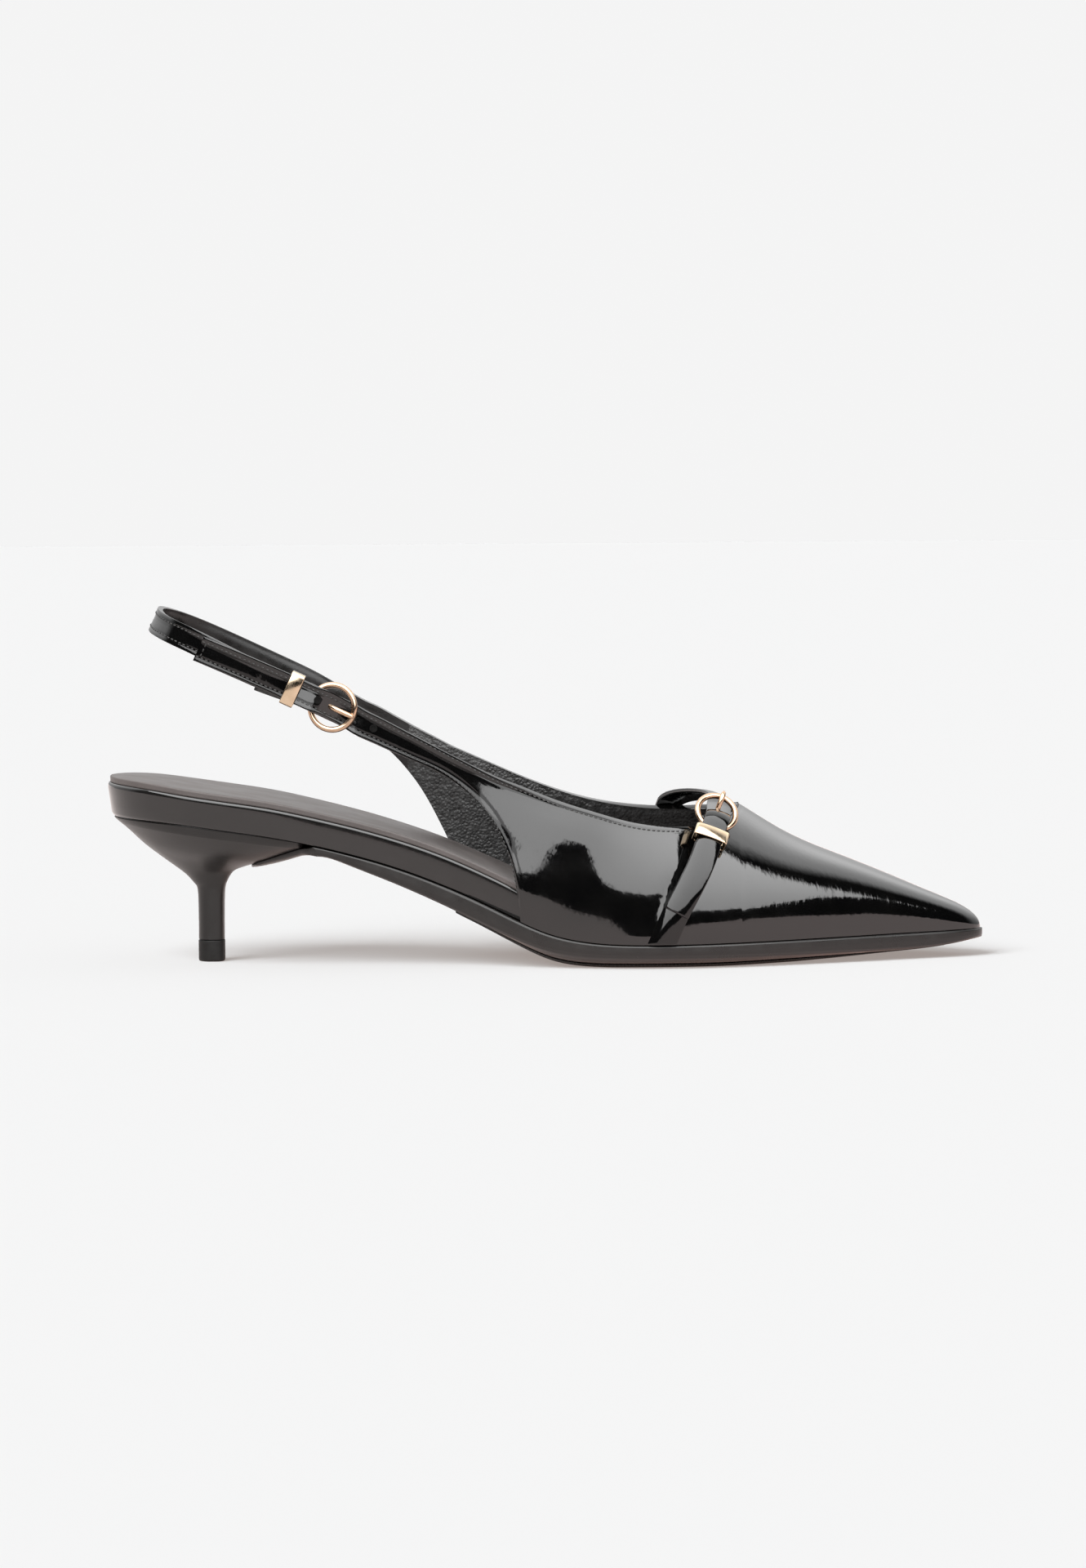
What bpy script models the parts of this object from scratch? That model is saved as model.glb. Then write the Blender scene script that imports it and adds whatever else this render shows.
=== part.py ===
"""Right slingback pump: pointed toe, kitten heel, sling strap and instep strap with round buckles.

Sizes are in millimetres and become metres when a mesh is made. A station is the distance from the
back of the heel towards the toe. Lateral is -Y, medial is +Y, and the floor is z = 0.
"""

import math

import bmesh
import bpy
import numpy as np
from mathutils import Matrix, Vector

# Driving sizes
LENGTH = 257.0          # back of the heel to the tip of the sole
TOE_LIP = 0.6           # sole beyond the upper all round the forefoot
WALL = 1.6              # patent leather with its lining
GAP = 0.3               # clearance between pieces that touch
UPPER_LENGTH = LENGTH - TOE_LIP
BOARD_LENGTH = UPPER_LENGTH - WALL - GAP
SOCK = 1.6              # thickness of the insole
SOCK_END = 238.0        # station where the insole stops inside the toe
PAD = 0.8               # thickness of the forefoot tread pad
LIFT_HEIGHT = 6.2       # top lift under the heel post
STRAP_WIDTH = 7.6
SLING_WIDTH = 7.0
STRAP = 1.2             # thickness of the instep straps
RING_RADIUS = 6.5       # to the middle of the buckle's wire
WIRE = 0.75             # radius of the buckle's wire
PRONG = 0.65            # radius of the prong
RING_SLACK = 0.12       # extra room for the strap under the instep ring
KEEPER_WIDTH = 3.4
KEEPER_METAL = 0.6
KEEPER_CORNER = 1.0     # outer radius of the keeper's corners
THROAT = 185.2          # foremost station of the topline, on the ridge
BOARD_TUCK = ((100, 125, 230, 254), (0.0, 0.3, 0.3, 1.0))   # stations, and how far the board stays inside
BREAST_END = 61.0       # station where the sole leaves the board and runs down the heel breast
BREAST_BLEND = 2.0      # length of that turn
TONGUE_END = 42.0       # rear end of the sole's lip on the heel breast
LIP_START = 70.0        # station where the sole begins to stand out from the board's plan
LIP_FULL = 124.0        # station from where it stands out beyond the upper
PAD_START = 101.0       # stations between which the tread pad lies
PAD_END = 246.0
PAD_INSET = 7.0         # tread pad inside the sole's plan
PAD_LEAST = 0.2         # least share of the sole's half width that it keeps at its ends
SOCK_INSET = 1.2        # insole inside the board's plan
BOARD_LEAN = 1.3        # how far the board's edge leans in at its foot, at the back of the heel
BOARD_LEAN_END = 60.0   # station where the edge stands upright
LIFT_FLARE = 0.1        # top lift wider than the post
LIFT_ROUND = 0.5        # rounding of its lower edge

# How finely the surfaces are divided
PLAN_ANGLES = np.linspace(0.05, math.pi - 0.05, 34)
GIRTH_STEPS = 8
TOE_STEPS = 13
ROW_SPLIT = 2
INSTEP_COLUMNS = 6
RING_SEGMENTS = 28
WIRE_SEGMENTS = 8
KEEPER_SEGMENTS = 16
HEEL_STEPS = 16         # points on each half of a heel section
END_GAP = 4.0           # degrees left open between the two halves of a round section
TONGUE_STEPS = 8
TONGUE_TURN = 78.0      # degrees of the tongue's round end on each side

# Direction of the sling strap's width: it leans forward because the loop lies in a tilted plane
STRAP_LEAN = np.array([0.44, 0.0, 0.898])


def heel_to_toe_angle(station, length):
    """Angle that runs from 0 at the heel's back to pi at the toe, so that both ends come out round."""
    return np.arccos(np.clip(1 - 2 * np.asarray(station, float) / length, -1, 1))


def board_angle(station):
    return heel_to_toe_angle(station, BOARD_LENGTH)


def upper_angle(station):
    return heel_to_toe_angle(station, UPPER_LENGTH)


def as_given(value):
    return np.asarray(value, float)


class Table:
    """A short table with named columns. Each column is a smooth curve over the first one."""

    def __init__(self, columns, rows, measure=as_given):
        values = np.array(rows, float)
        self.measure = measure
        self.knots = measure(values[:, 0])
        self.curves = {}
        for name, column in zip(columns.split()[1:], values[:, 1:].T):
            self.curves[name] = (column, self.bends(column))

    def bends(self, column):
        """Second derivatives of the natural cubic curve through one column."""
        count = len(column)
        step = np.diff(self.knots)
        slope = np.diff(column) / step
        matrix = np.eye(count)
        right = np.zeros(count)
        for i in range(1, count - 1):
            matrix[i, i - 1:i + 2] = step[i - 1], 2 * (step[i - 1] + step[i]), step[i]
            right[i] = 6 * (slope[i] - slope[i - 1])
        return np.linalg.solve(matrix, right)

    def at(self, name, value):
        return self.at_measure(name, self.measure(value))

    def at_measure(self, name, place):
        column, bend = self.curves[name]
        i = np.clip(np.searchsorted(self.knots, place) - 1, 0, len(self.knots) - 2)
        step = self.knots[i + 1] - self.knots[i]
        far = (place - self.knots[i]) / step
        near = 1 - far
        curve = (near ** 3 - near) * bend[i] + (far ** 3 - far) * bend[i + 1]
        return near * column[i] + far * column[i + 1] + curve * step ** 2 / 6


# Plan of the board that carries the foot, which is the bottom of the last
BOARD = Table("station swing half_width", [
    (0.0, 0.0, 0.0),
    (8.0, 0.0, 18.0),
    (26.0, 0.0, 26.2),
    (50.0, -0.3, 26.4),
    (76.0, -1.5, 24.4),
    (100.0, -2.6, 23.6),
    (121.0, -3.0, 26.3),
    (141.0, -2.2, 31.0),
    (160.0, -0.4, 34.2),
    (175.0, 1.2, 34.2),
    (193.0, 2.6, 30.0),
    (213.0, 3.3, 22.4),
    (233.0, 3.3, 13.5),
    (246.0, 3.0, 7.6),
    (BOARD_LENGTH, 2.8, 0.0),
], board_angle)

# Height of the board's underside, where the upper meets the sole, and the height of its edge
RISE = Table("station feather board", [
    (0.0, 43.4, 9.8),
    (12.0, 42.8, 9.3),
    (24.0, 41.7, 8.6),
    (36.0, 40.1, 8.4),
    (48.0, 38.3, 8.3),
    (60.0, 35.9, 8.1),
    (71.0, 33.2, 8.1),
    (88.0, 28.0, 8.3),
    (100.0, 23.3, 8.6),
    (110.0, 18.9, 8.6),
    (119.0, 14.6, 8.5),
    (128.0, 10.7, 7.6),
    (140.0, 8.0, 6.0),
    (158.0, 7.1, 4.6),
    (175.0, 7.2, 4.0),
    (214.0, 7.7, 3.2),
    (238.0, 8.0, 2.2),
    (BOARD_LENGTH, 8.2, 1.2),
])

# Underside of the sole: height of its edge, height of its middle
SOLE = Table("station edge keel", [
    (TONGUE_END, 28.6, 28.4),
    (48.0, 30.0, 29.6),
    (54.0, 31.7, 31.4),
    (62.0, 32.9, 32.7),
    (71.0, 30.0, 29.8),
    (82.5, 25.3, 25.2),
    (99.6, 17.7, 17.5),
    (109.3, 13.1, 12.8),
    (121.5, 8.0, 6.6),
    (130.0, 5.6, 3.0),
    (139.0, 4.4, 1.45),
    (148.0, 3.9, PAD + GAP),
    (163.0, 3.7, PAD + GAP),
    (178.0, 3.6, PAD + GAP),
    (197.0, 3.5, 1.45),
    (215.0, 3.3, 1.95),
    (231.0, 3.2, 2.55),
    (241.0, 3.5, 3.0),
    (250.0, 4.5, 4.0),
    (LENGTH, 5.9, 5.4),
])

# Rings of the board's edge from its underside to its top: how far inside the plan, share of the lean,
# share of the edge's height
BOARD_EDGE = [
    ("inset", "lean", "rise"),
    (2.2, 1.0, 0.0),
    (0.7, 1.0, 0.05),
    (0.0, 0.8, 0.22),
    (0.0, 0.0, 0.82),
    (0.35, 0.0, 0.96),
    (1.4, 0.0, 1.0),
]

# Rings of the sole from its underside to its top: how far inside the plan, the most of the half width,
# share of the way from the middle's height to the edge's, share of the way on to the top
SOLE_EDGE = [
    ("inset", "most", "to_edge", "to_top"),
    (6.5, 0.75, 0.0, 0.0),
    (3.4, 0.45, 0.22, 0.0),
    (1.2, 0.2, 0.75, 0.0),
    (0.35, 0.05, 1.0, 0.12),
    (0.0, 0.0, 1.0, 0.42),
    (0.0, 0.0, 1.0, 0.9),
    (0.5, 0.08, 1.0, 1.0),
]

# Rings of the insole and of the tread pad: how far inside the plan, share of the thickness
SOCK_EDGE = [
    ("inset", "rise"),
    (0.0, 0.0),
    (0.0, 0.6),
    (0.5, 1.0),
    (4.0, 1.06),
]
PAD_EDGE = [
    ("inset", "depth"),
    (0.5, 1.0),
    (0.0, 0.5),
    (0.0, 0.0),
]

# The heel from its seat to its post: back and front of each tilted section, width, squareness in front
HEEL = [
    ("back_station", "back_height", "front_station", "front_height", "half_width", "front_power"),
    (1.8, None, 58.0, None, 25.0, 5.0),
    (2.9, 41.8, 57.4, 35.0, 24.4, 5.0),
    (6.0, 39.2, 52.5, 33.3, 21.2, 4.5),
    (10.0, 35.4, 47.5, 31.5, 17.2, 4.0),
    (14.5, 31.8, 43.0, 29.8, 13.0, 3.5),
    (19.5, 28.1, 39.2, 28.2, 9.2, 3.0),
    (23.0, 25.3, 36.4, 26.2, 6.8, 3.0),
    (25.2, 22.8, 34.8, 23.6, 5.2, 3.0),
    (26.1, 19.5, 34.0, 19.6, 4.4, 3.0),
    (26.2, LIFT_HEIGHT + GAP, 33.8, LIFT_HEIGHT + GAP, 4.1, 3.0),
]

# Sections of the upper: height and sideways place of the ridge, and the handles that fill each half
UPPER = Table("station ridge_height ridge_swing side_handle side_lean ridge_handle", [
    (60.0, 128.0, -0.4, 0.35, 0.0, 0.50),
    (76.0, 112.0, -0.5, 0.35, 0.0, 0.50),
    (100.0, 100.0, -0.6, 0.42, 0.0, 0.48),
    (121.0, 88.0, -0.6, 0.48, 0.0, 0.45),
    (141.0, 68.0, -0.2, 0.52, 0.3, 0.42),
    (160.0, 54.0, 0.6, 0.54, 0.8, 0.40),
    (172.0, 45.8, 1.6, 0.55, 1.0, 0.39),
    (THROAT, 37.9, 2.5, 0.56, 1.0, 0.38),
    (197.7, 30.0, 3.1, 0.56, 0.8, 0.38),
    (215.4, 21.8, 3.5, 0.56, 0.5, 0.40),
    (233.2, 14.3, 3.4, 0.56, 0.2, 0.45),
    (242.0, 10.5, 3.2, 0.56, 0.1, 0.48),
    (251.0, 6.4, 2.9, 0.55, 0.0, 0.52),
    (UPPER_LENGTH, 0.0, 2.8, 0.55, 0.0, 0.55),
], upper_angle)

# Rows from the throat back to the strap. A row runs from the lower edge up to the topline, and the lower
# edge is the feather line until the wing's rear edge begins.
LATERAL_FRONT = [
    ("low_station", "top_station", "top_height"),
    (THROAT, THROAT, None),
    (183.4, 183.6, 44.2),
    (180.6, 181.0, 42.5),
    (176.0, 176.5, 41.1),
    (169.5, 170.0, 40.4),
    (160.5, 161.0, 40.7),
    (150.0, 150.5, 42.3),
    (139.5, 140.0, 45.2),
    (129.5, 130.0, 49.1),
    (121.0, 122.0, 52.5),
]
LATERAL_REAR = [
    ("low_station", "low_height", "top_station", "top_height"),
    (119.6, 25.5, 115.5, 55.0),
    (117.0, 35.0, 109.5, 57.7),
    (112.5, 43.8, 104.0, 60.4),
    (106.2, 50.7, 98.5, 63.2),
    (98.5, 56.2, 93.0, 66.2),
    (90.0, 60.2, 87.5, 69.1),
    (82.0, 63.8, 82.4, 71.8),
    (74.0, 67.5, 77.4, 74.4),
]
MEDIAL_FRONT = [
    ("low_station", "top_station", "top_height"),
    (THROAT, THROAT, None),
    (183.4, 183.6, 44.6),
    (180.6, 181.0, 43.8),
    (175.5, 176.0, 43.3),
    (168.5, 169.0, 42.9),
    (159.5, 160.0, 42.9),
    (148.0, 148.0, 44.2),
    (135.0, 135.5, 47.2),
    (122.0, 123.0, 51.8),
    (112.0, 113.0, 56.2),
    (104.0, 105.0, 59.8),
]
MEDIAL_REAR = [
    ("low_station", "low_height", "top_station", "top_height"),
    (102.0, 27.5, 101.0, 61.6),
    (99.3, 34.2, 97.4, 63.5),
    (95.7, 41.8, 94.0, 65.3),
    (92.0, 48.6, 90.6, 67.1),
    (88.0, 54.3, 87.2, 69.0),
    (83.5, 59.4, 83.6, 71.0),
    (78.2, 63.9, 79.7, 73.2),
    (72.6, 68.2, 75.8, 75.0),
]

# Middle of the sling strap behind the wings
LATERAL_STRAP = [
    ("station", "side", "height"),
    (71.3, -24.6, 73.6),
    (67.3, -25.1, 75.6),
    (62.6, -26.35, 78.0),
    (60.4, -26.2, 79.0),
    (56.0, -25.5, 81.0),
    (50.0, -25.0, 83.6),
    (40.0, -24.2, 88.0),
    (33.5, -23.2, 90.8),
    (28.2, -21.9, 93.0),
]
MEDIAL_STRAP = [
    ("station", "side", "height"),
    (62.2, 22.4, 78.9),
    (50.0, 22.4, 85.1),
    (38.0, 21.6, 90.8),
    (28.4, 19.7, 95.3),
    (20.2, 15.5, 98.9),
    (15.5, 8.8, 100.7),
    (14.0, 0.0, 101.0),
    (15.3, -8.7, 100.0),
    (19.7, -15.4, 97.9),
    (28.0, -19.8, 94.2),
    (40.0, -22.0, 88.2),
    (50.0, -22.8, 83.6),
    (57.0, -22.7, 80.5),
]
SLING_BAR = (61.2, -23.3, 78.5)     # middle of the ring's rear side, which the strap hooks round
SLING_RING_FRONT = (73.0, -25.9, 73.0)
HOOK_TURNS = (0.0, 35.0, 70.0, 100.0)   # degrees round the ring's rear side
SLING_HOLE = (67.3, 62.6)           # the prong comes up through the strap between these stations
SLING_KEEPER = (55.4, -20.2, 81.1)  # middle of its inner plate
SLING_KEEPER_DEPTH = 6.2

# Instep strap: station of its middle over the height on each side of the foot
INSTEP_LATERAL = Table("height station", [
    (7.0, 161.6),
    (17.0, 166.2),
    (28.7, 172.6),
    (38.0, 176.2),
    (44.0, 178.4),
    (48.0, 179.8),
])
INSTEP_MEDIAL = Table("height station", [
    (8.0, 153.0),
    (20.0, 157.6),
    (32.0, 161.6),
    (43.5, 165.4),
])
INSTEP_FOOT = 0.5                   # height of both lower ends above the feather line
INSTEP_END_HEIGHT = 16.2            # square end of the free strap
INSTEP_RING_HEIGHT = 42.6           # middle of the ring
INSTEP_BRIDGE_HEIGHT = 46.4         # where the free strap leaves the lateral side to cross the throat
INSTEP_BRIDGE_REACH = 34.0          # how strongly the crossing keeps its direction at both ends
INSTEP_MEDIAL_TOP = 43.0            # where it comes down on the medial side
KEEPER_FROM_RING = 10.6             # along the strap, from the ring's middle to the keeper's
# Lifts of the straps' outer faces from the upper, along the strap from the ring's middle
LIFT_ON_UPPER = GAP + STRAP
LIFT_IN_KEEPER = 2 * GAP + KEEPER_METAL + STRAP
LIFT_OF_BAR = LIFT_IN_KEEPER + GAP + WIRE
INSTEP_HOLE = (-4.4, 0.0)           # the prong comes up through the strap between these lengths
FREE_LIFT = (
    (-60.0, 2 * LIFT_ON_UPPER),
    (-KEEPER_FROM_RING - 4.5, 2 * LIFT_ON_UPPER),
    (-KEEPER_FROM_RING - 2.0, LIFT_IN_KEEPER + LIFT_ON_UPPER),
    (-KEEPER_FROM_RING + 1.9, LIFT_IN_KEEPER + LIFT_ON_UPPER),
    (-7.2, LIFT_OF_BAR + WIRE + LIFT_ON_UPPER),
    (INSTEP_HOLE[0], LIFT_OF_BAR + WIRE + LIFT_ON_UPPER),
    (INSTEP_HOLE[1], 3.2),
    (4.2, LIFT_ON_UPPER),
    (12.0, LIFT_ON_UPPER),
)
PRONG_COURSE = [
    ("along", "out"),
    (-RING_RADIUS + WIRE + GAP, 0.0),
    (-3.7, 0.1),
    (-2.6, 0.6),
    (-1.4, 1.36),
    (-0.4, WIRE + GAP + PRONG),
    (RING_RADIUS + 0.7, WIRE + GAP + PRONG),
]
ANCHOR_LIFT = (
    (-60.0, LIFT_ON_UPPER),
    (-KEEPER_FROM_RING - 4.5, LIFT_ON_UPPER),
    (-KEEPER_FROM_RING - 2.0, LIFT_IN_KEEPER),
    (0.0, LIFT_IN_KEEPER),
)


def clear_scene():
    for thing in list(bpy.data.objects):
        bpy.data.objects.remove(thing, do_unlink=True)
    for group in list(bpy.data.collections):
        bpy.data.collections.remove(group)


def material(name, colour, roughness, metallic=0.0):
    made = bpy.data.materials.new(name)
    made.use_nodes = True
    shader = made.node_tree.nodes["Principled BSDF"]
    shader.inputs["Base Color"].default_value = (*colour, 1.0)
    shader.inputs["Roughness"].default_value = roughness
    shader.inputs["Metallic"].default_value = metallic
    made.diffuse_color = (*colour, 1.0)
    return made


def to_world(point):
    """A point given as station, side and height becomes metres about the middle of the shoe."""
    station, side, height = point
    return Vector(((station - LENGTH / 2) * 0.001, side * 0.001, height * 0.001))


def add_object(name, data, finish, group):
    data.materials.append(finish)
    thing = bpy.data.objects.new(name, data)
    group.objects.link(thing)
    return thing


def finish_mesh(build, name, finish, group):
    bmesh.ops.remove_doubles(build, verts=build.verts, dist=1e-6)
    bmesh.ops.recalc_face_normals(build, faces=build.faces)
    mesh = bpy.data.meshes.new(name)
    build.to_mesh(mesh)
    build.free()
    mesh.shade_smooth()
    mesh.set_sharp_from_angle(angle=math.radians(40))
    return add_object(name, mesh, finish, group)


def skin(name, rings, finish, group):
    """Closed body over rings of equal count. Each end is closed by strips between the ring's two halves."""
    build = bmesh.new()
    loops = [[build.verts.new(to_world(point)) for point in ring] for ring in rings]
    count = len(rings[0])
    for low, high in zip(loops, loops[1:]):
        for i in range(count):
            j = (i + 1) % count
            build.faces.new((low[i], low[j], high[j], high[i]))
    for loop in (loops[0], loops[-1]):
        for i in range(count // 2 - 1):
            build.faces.new((loop[i], loop[i + 1], loop[count - 2 - i], loop[count - 1 - i]))
    return finish_mesh(build, name, finish, group)


def sheet(grids, name, thickness, finish, group, windows=()):
    """Grids of points joined into one surface and thickened on the inner side."""
    build = bmesh.new()
    for number, grid in enumerate(grids):
        verts = [[build.verts.new(to_world(point)) for point in row] for row in grid]
        for r in range(len(grid) - 1):
            for c in range(len(grid[0]) - 1):
                if (number, r, c) not in windows:
                    corners = (verts[r][c], verts[r + 1][c], verts[r + 1][c + 1], verts[r][c + 1])
                    build.faces.new(corners)
    thing = finish_mesh(build, name, finish, group)
    shell = thing.modifiers.new("wall", "SOLIDIFY")
    shell.thickness = thickness * 0.001
    shell.offset = -1.0
    shell.use_even_offset = True
    return thing


def outline(angle, side, out):
    """Plan of the board at an angle from heel to toe, moved outwards along its normal."""
    def place(at):
        station = BOARD_LENGTH * (1 - np.cos(at)) / 2
        half = BOARD.at_measure("half_width", at)
        return np.array([station, BOARD.at_measure("swing", at) + side * half])
    step = 1e-4
    along = place(angle + step) - place(angle - step)
    normal = np.array([-along[1], along[0]]) * side
    return place(angle) + normal / np.linalg.norm(normal) * out


def board_loop(angles, out):
    """Loop along the lateral side to the toe and back along the medial side."""
    lateral = [outline(angle, -1, out) for angle in angles]
    medial = [outline(angle, 1, out) for angle in angles[::-1]]
    return np.array(lateral + medial)


def inset(loop, distance):
    """A plan loop moved inwards, by one distance or by one for each point."""
    along = np.roll(loop, -1, axis=0) - np.roll(loop, 1, axis=0)
    normal = np.stack([along[:, 1], -along[:, 0]], axis=1)
    normal /= np.linalg.norm(normal, axis=1)[:, None]
    return loop - normal * np.broadcast_to(distance, len(loop))[:, None]


def raised(loop, height):
    """Plan loop with a height for each point, given as a function of the station."""
    return [(x, y, float(height(x))) for x, y in loop]


def feather(station):
    return RISE.at("feather", station)


def board_top(station):
    return feather(station) + RISE.at("board", station)


def make_board(finish, group):
    loop = board_loop(PLAN_ANGLES, 0.0)
    loop = inset(loop, np.interp(loop[:, 0], *BOARD_TUCK))
    lean = BOARD_LEAN * np.clip(1 - loop[:, 0] / BOARD_LEAN_END, 0, 1)
    rings = []
    for distance, leaning, rise in BOARD_EDGE[1:]:
        def height(station, share=rise):
            return feather(station) + share * RISE.at("board", station)
        rings.append(raised(inset(loop, lean * leaning + distance), height))
    return skin("footbed_board", rings, finish, group)


def make_insole(finish, group):
    loop = board_loop(PLAN_ANGLES[PLAN_ANGLES < board_angle(SOCK_END)], -SOCK_INSET)
    rings = []
    for distance, rise in SOCK_EDGE[1:]:
        def height(station, share=rise):
            return board_top(station) + GAP + share * SOCK
        rings.append(raised(inset(loop, distance), height))
    return skin("insole", rings, finish, group)


def breast(station):
    """Height of the heel's front face over the station, along the middle of the shoe."""
    rows = HEEL[1:]
    stations = [row[2] for row in rows[4:0:-1]]
    heights = [row[3] for row in rows[4:0:-1]]
    return np.interp(station, stations, heights)


def sole_top(station):
    if station < BREAST_END - BREAST_BLEND:
        return breast(station) - 2 * GAP
    return feather(station) - GAP


def sole_loop():
    """Plan of the sole: a rounded tongue on the heel breast, then the board's plan with a growing lip."""
    angles = PLAN_ANGLES[PLAN_ANGLES > board_angle(BREAST_END)]
    sides = []
    for side in (-1, 1):
        main = []
        for angle in angles:
            station = BOARD_LENGTH * (1 - math.cos(angle)) / 2
            share = float(np.clip((station - LIP_START) / (LIP_FULL - LIP_START), 0, 1))
            lip = (WALL + GAP + TOE_LIP) * share * share * (3 - 2 * share)
            main.append(outline(angle, side, lip))
        root = main[0]
        reach = root[0] - TONGUE_END
        middle = float(BOARD.at("swing", root[0]))
        tongue = []
        for turn in np.linspace(END_GAP, TONGUE_TURN, TONGUE_STEPS):
            turn = math.radians(turn)
            half = (root[1] - middle) * math.sin(turn)
            tongue.append(np.array([root[0] - reach * math.cos(turn), middle + half]))
        sides.append(tongue + main)
    return np.array(sides[0] + sides[1][::-1])


def keel(station):
    """Height of the sole's underside along its middle, level where the tread pad meets the floor."""
    return max(float(SOLE.at("keel", station)), PAD + GAP)


def half_widths(loop):
    return np.abs(loop[:, 1] - loop[::-1, 1]) / 2


def make_outsole(finish, group):
    loop = sole_loop()
    half = half_widths(loop)
    rings = []
    for distance, most, to_edge, to_top in SOLE_EDGE[1:]:
        def height(station, out=to_edge, up=to_top):
            low, edge = keel(station), SOLE.at("edge", station)
            return low + out * (edge - low) + up * (sole_top(station) - edge)
        rings.append(raised(inset(loop, np.minimum(distance, half * most)), height))
    return skin("outsole", rings, finish, group)


def make_tread_pad(finish, group):
    loop = sole_loop()
    loop = loop[(loop[:, 0] > PAD_START) & (loop[:, 0] < PAD_END)]
    keep = np.maximum(1 - PAD_INSET / half_widths(loop), PAD_LEAST)
    middle = (loop[:, 1] + loop[::-1, 1]) / 2
    plan = np.column_stack([loop[:, 0], middle + (loop[:, 1] - middle) * keep])
    rings = []
    for distance, depth in PAD_EDGE[1:]:
        def height(station, share=depth):
            return keel(station) - GAP - share * PAD
        rings.append(raised(inset(plan, distance), height))
    return skin("tread_pad", rings, finish, group)


def heel_section(row):
    """One tilted section of the heel: round behind, squarer at the breast."""
    back, back_height, front, front_height, half_width, power = row
    seat = back_height is None
    middle = back + 0.5 * (front - back)
    lateral = []
    for turn in np.linspace(180 - END_GAP, END_GAP, HEEL_STEPS):
        turn = math.radians(turn)
        across = math.sin(turn)
        along = math.cos(turn)
        if along > 0:
            size = (abs(across) ** power + along ** power) ** (-1 / power)
            across, along = across * size, along * size
        station = middle + along * (front - back) / 2
        share = (station - back) / (front - back)
        height = feather(station) - GAP if seat else back_height + share * (front_height - back_height)
        swing = float(BOARD.at("swing", station)) if seat else 0.0
        lateral.append((station, swing - half_width * across, float(height)))
    medial = [(s, 2 * (float(BOARD.at("swing", s)) if seat else 0.0) - y, z) for s, y, z in lateral[::-1]]
    return lateral + medial


def make_heel(finish, group):
    return skin("heel", [heel_section(row) for row in HEEL[1:]], finish, group)


def make_top_lift(finish, group):
    back, _, front, _, half_width, power = HEEL[-1]
    rows = [
        (back, LIFT_HEIGHT, front, LIFT_HEIGHT, half_width, power),
        (back - LIFT_FLARE, LIFT_ROUND, front + LIFT_FLARE, LIFT_ROUND, half_width + LIFT_FLARE, power),
        (back + LIFT_ROUND, 0.0, front - LIFT_ROUND, 0.0, half_width - LIFT_ROUND, power),
    ]
    return skin("top_lift", [heel_section(row) for row in rows], finish, group)


def bezier(start, first, second, end, share):
    rest = 1 - share
    middle = 3 * rest * rest * share * first + 3 * rest * share * share * second
    return rest ** 3 * start + middle + share ** 3 * end


FEATHER_ANGLES = np.linspace(0.6, math.pi, 400)
FEATHER_STATIONS = {
    side: [outline(angle, side, WALL + GAP)[0] for angle in FEATHER_ANGLES] for side in (-1, 1)
}


def section_handles(station, side):
    """Four handles of half a section of the upper's outer face, from the feather line to the ridge."""
    def column(name):
        return float(UPPER.at(name, station))
    angle = float(np.interp(station, FEATHER_STATIONS[side], FEATHER_ANGLES))
    edge = outline(angle, side, WALL + GAP)[1]
    height = column("ridge_height")
    base = float(feather(station))
    start = np.array([station, edge, base])
    end = np.array([station, column("ridge_swing"), base + height])
    first = start + np.array([0, side * column("side_lean"), column("side_handle") * height])
    second = end + np.array([0, column("ridge_handle") * (start[1] - end[1]), 0])
    return start, first, second, end


def section_point(station, side, girth):
    """Point of the upper's outer face, or of its course over the foot: girth 0 is the feather line."""
    return bezier(*section_handles(station, side), girth)


def girth_at(station, height, side):
    """Share of the way from the feather line to the ridge at which the outer face has a height."""
    handles = section_handles(station, side)
    low, high = 0.0, 1.0
    for _ in range(40):
        girth = (low + high) / 2
        if bezier(*handles, girth)[2] < height:
            low = girth
        else:
            high = girth
    return girth


def wing_rows(side, front, rear):
    """Rows of one wing from the throat to the start of its strap."""
    count = len(front) + len(rear)
    throat_height = section_point(THROAT, side, 1.0)[2]
    tops = [(row[1], throat_height if row[2] is None else row[2]) for row in front]
    tops += [(row[2], row[3]) for row in rear]
    top = Table("row station height", [(i, *place) for i, place in enumerate(tops)])
    feet = Table("row station", [(i, row[0]) for i, row in enumerate(front)])
    corner = len(front) - 1
    corner_station = front[-1][0]
    lows = [(corner, corner_station, float(feather(corner_station)))]
    lows += [(corner + 1 + i, row[0], row[1]) for i, row in enumerate(rear)]
    low = Table("row station height", lows)
    rows = []
    for step in range((count - 1) * ROW_SPLIT + 1):
        at = step / ROW_SPLIT
        if at <= corner:
            start_station = float(feet.at("station", at))
            start_height = float(feather(start_station))
        else:
            start_station = float(low.at("station", at))
            start_height = float(low.at("height", at))
        end_station = float(top.at("station", at))
        end_height = float(top.at("height", at))
        first = girth_at(start_station, start_height, side) if at > corner else 0.0
        last = girth_at(end_station, end_height, side) if step else 1.0
        row = []
        for share in np.linspace(0, 1, GIRTH_STEPS + 1):
            station = start_station + share * (end_station - start_station)
            girth = first + share * (last - first)
            row.append(section_point(station, side, girth))
        rows.append(row)
    return rows


def toe_rows():
    """Whole sections from the throat to the tip of the toe."""
    rows = []
    girths = np.linspace(0, 1, GIRTH_STEPS + 1)
    for angle in np.linspace(float(upper_angle(THROAT)), math.pi, TOE_STEPS):
        station = UPPER_LENGTH * (1 - math.cos(angle)) / 2
        lateral = [section_point(station, -1, girth) for girth in girths]
        medial = [section_point(station, 1, girth) for girth in girths[-2::-1]]
        rows.append(lateral + medial)
    return rows


def across_strap(width, steps):
    return np.linspace(-0.5, 0.5, steps + 1) * width


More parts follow.
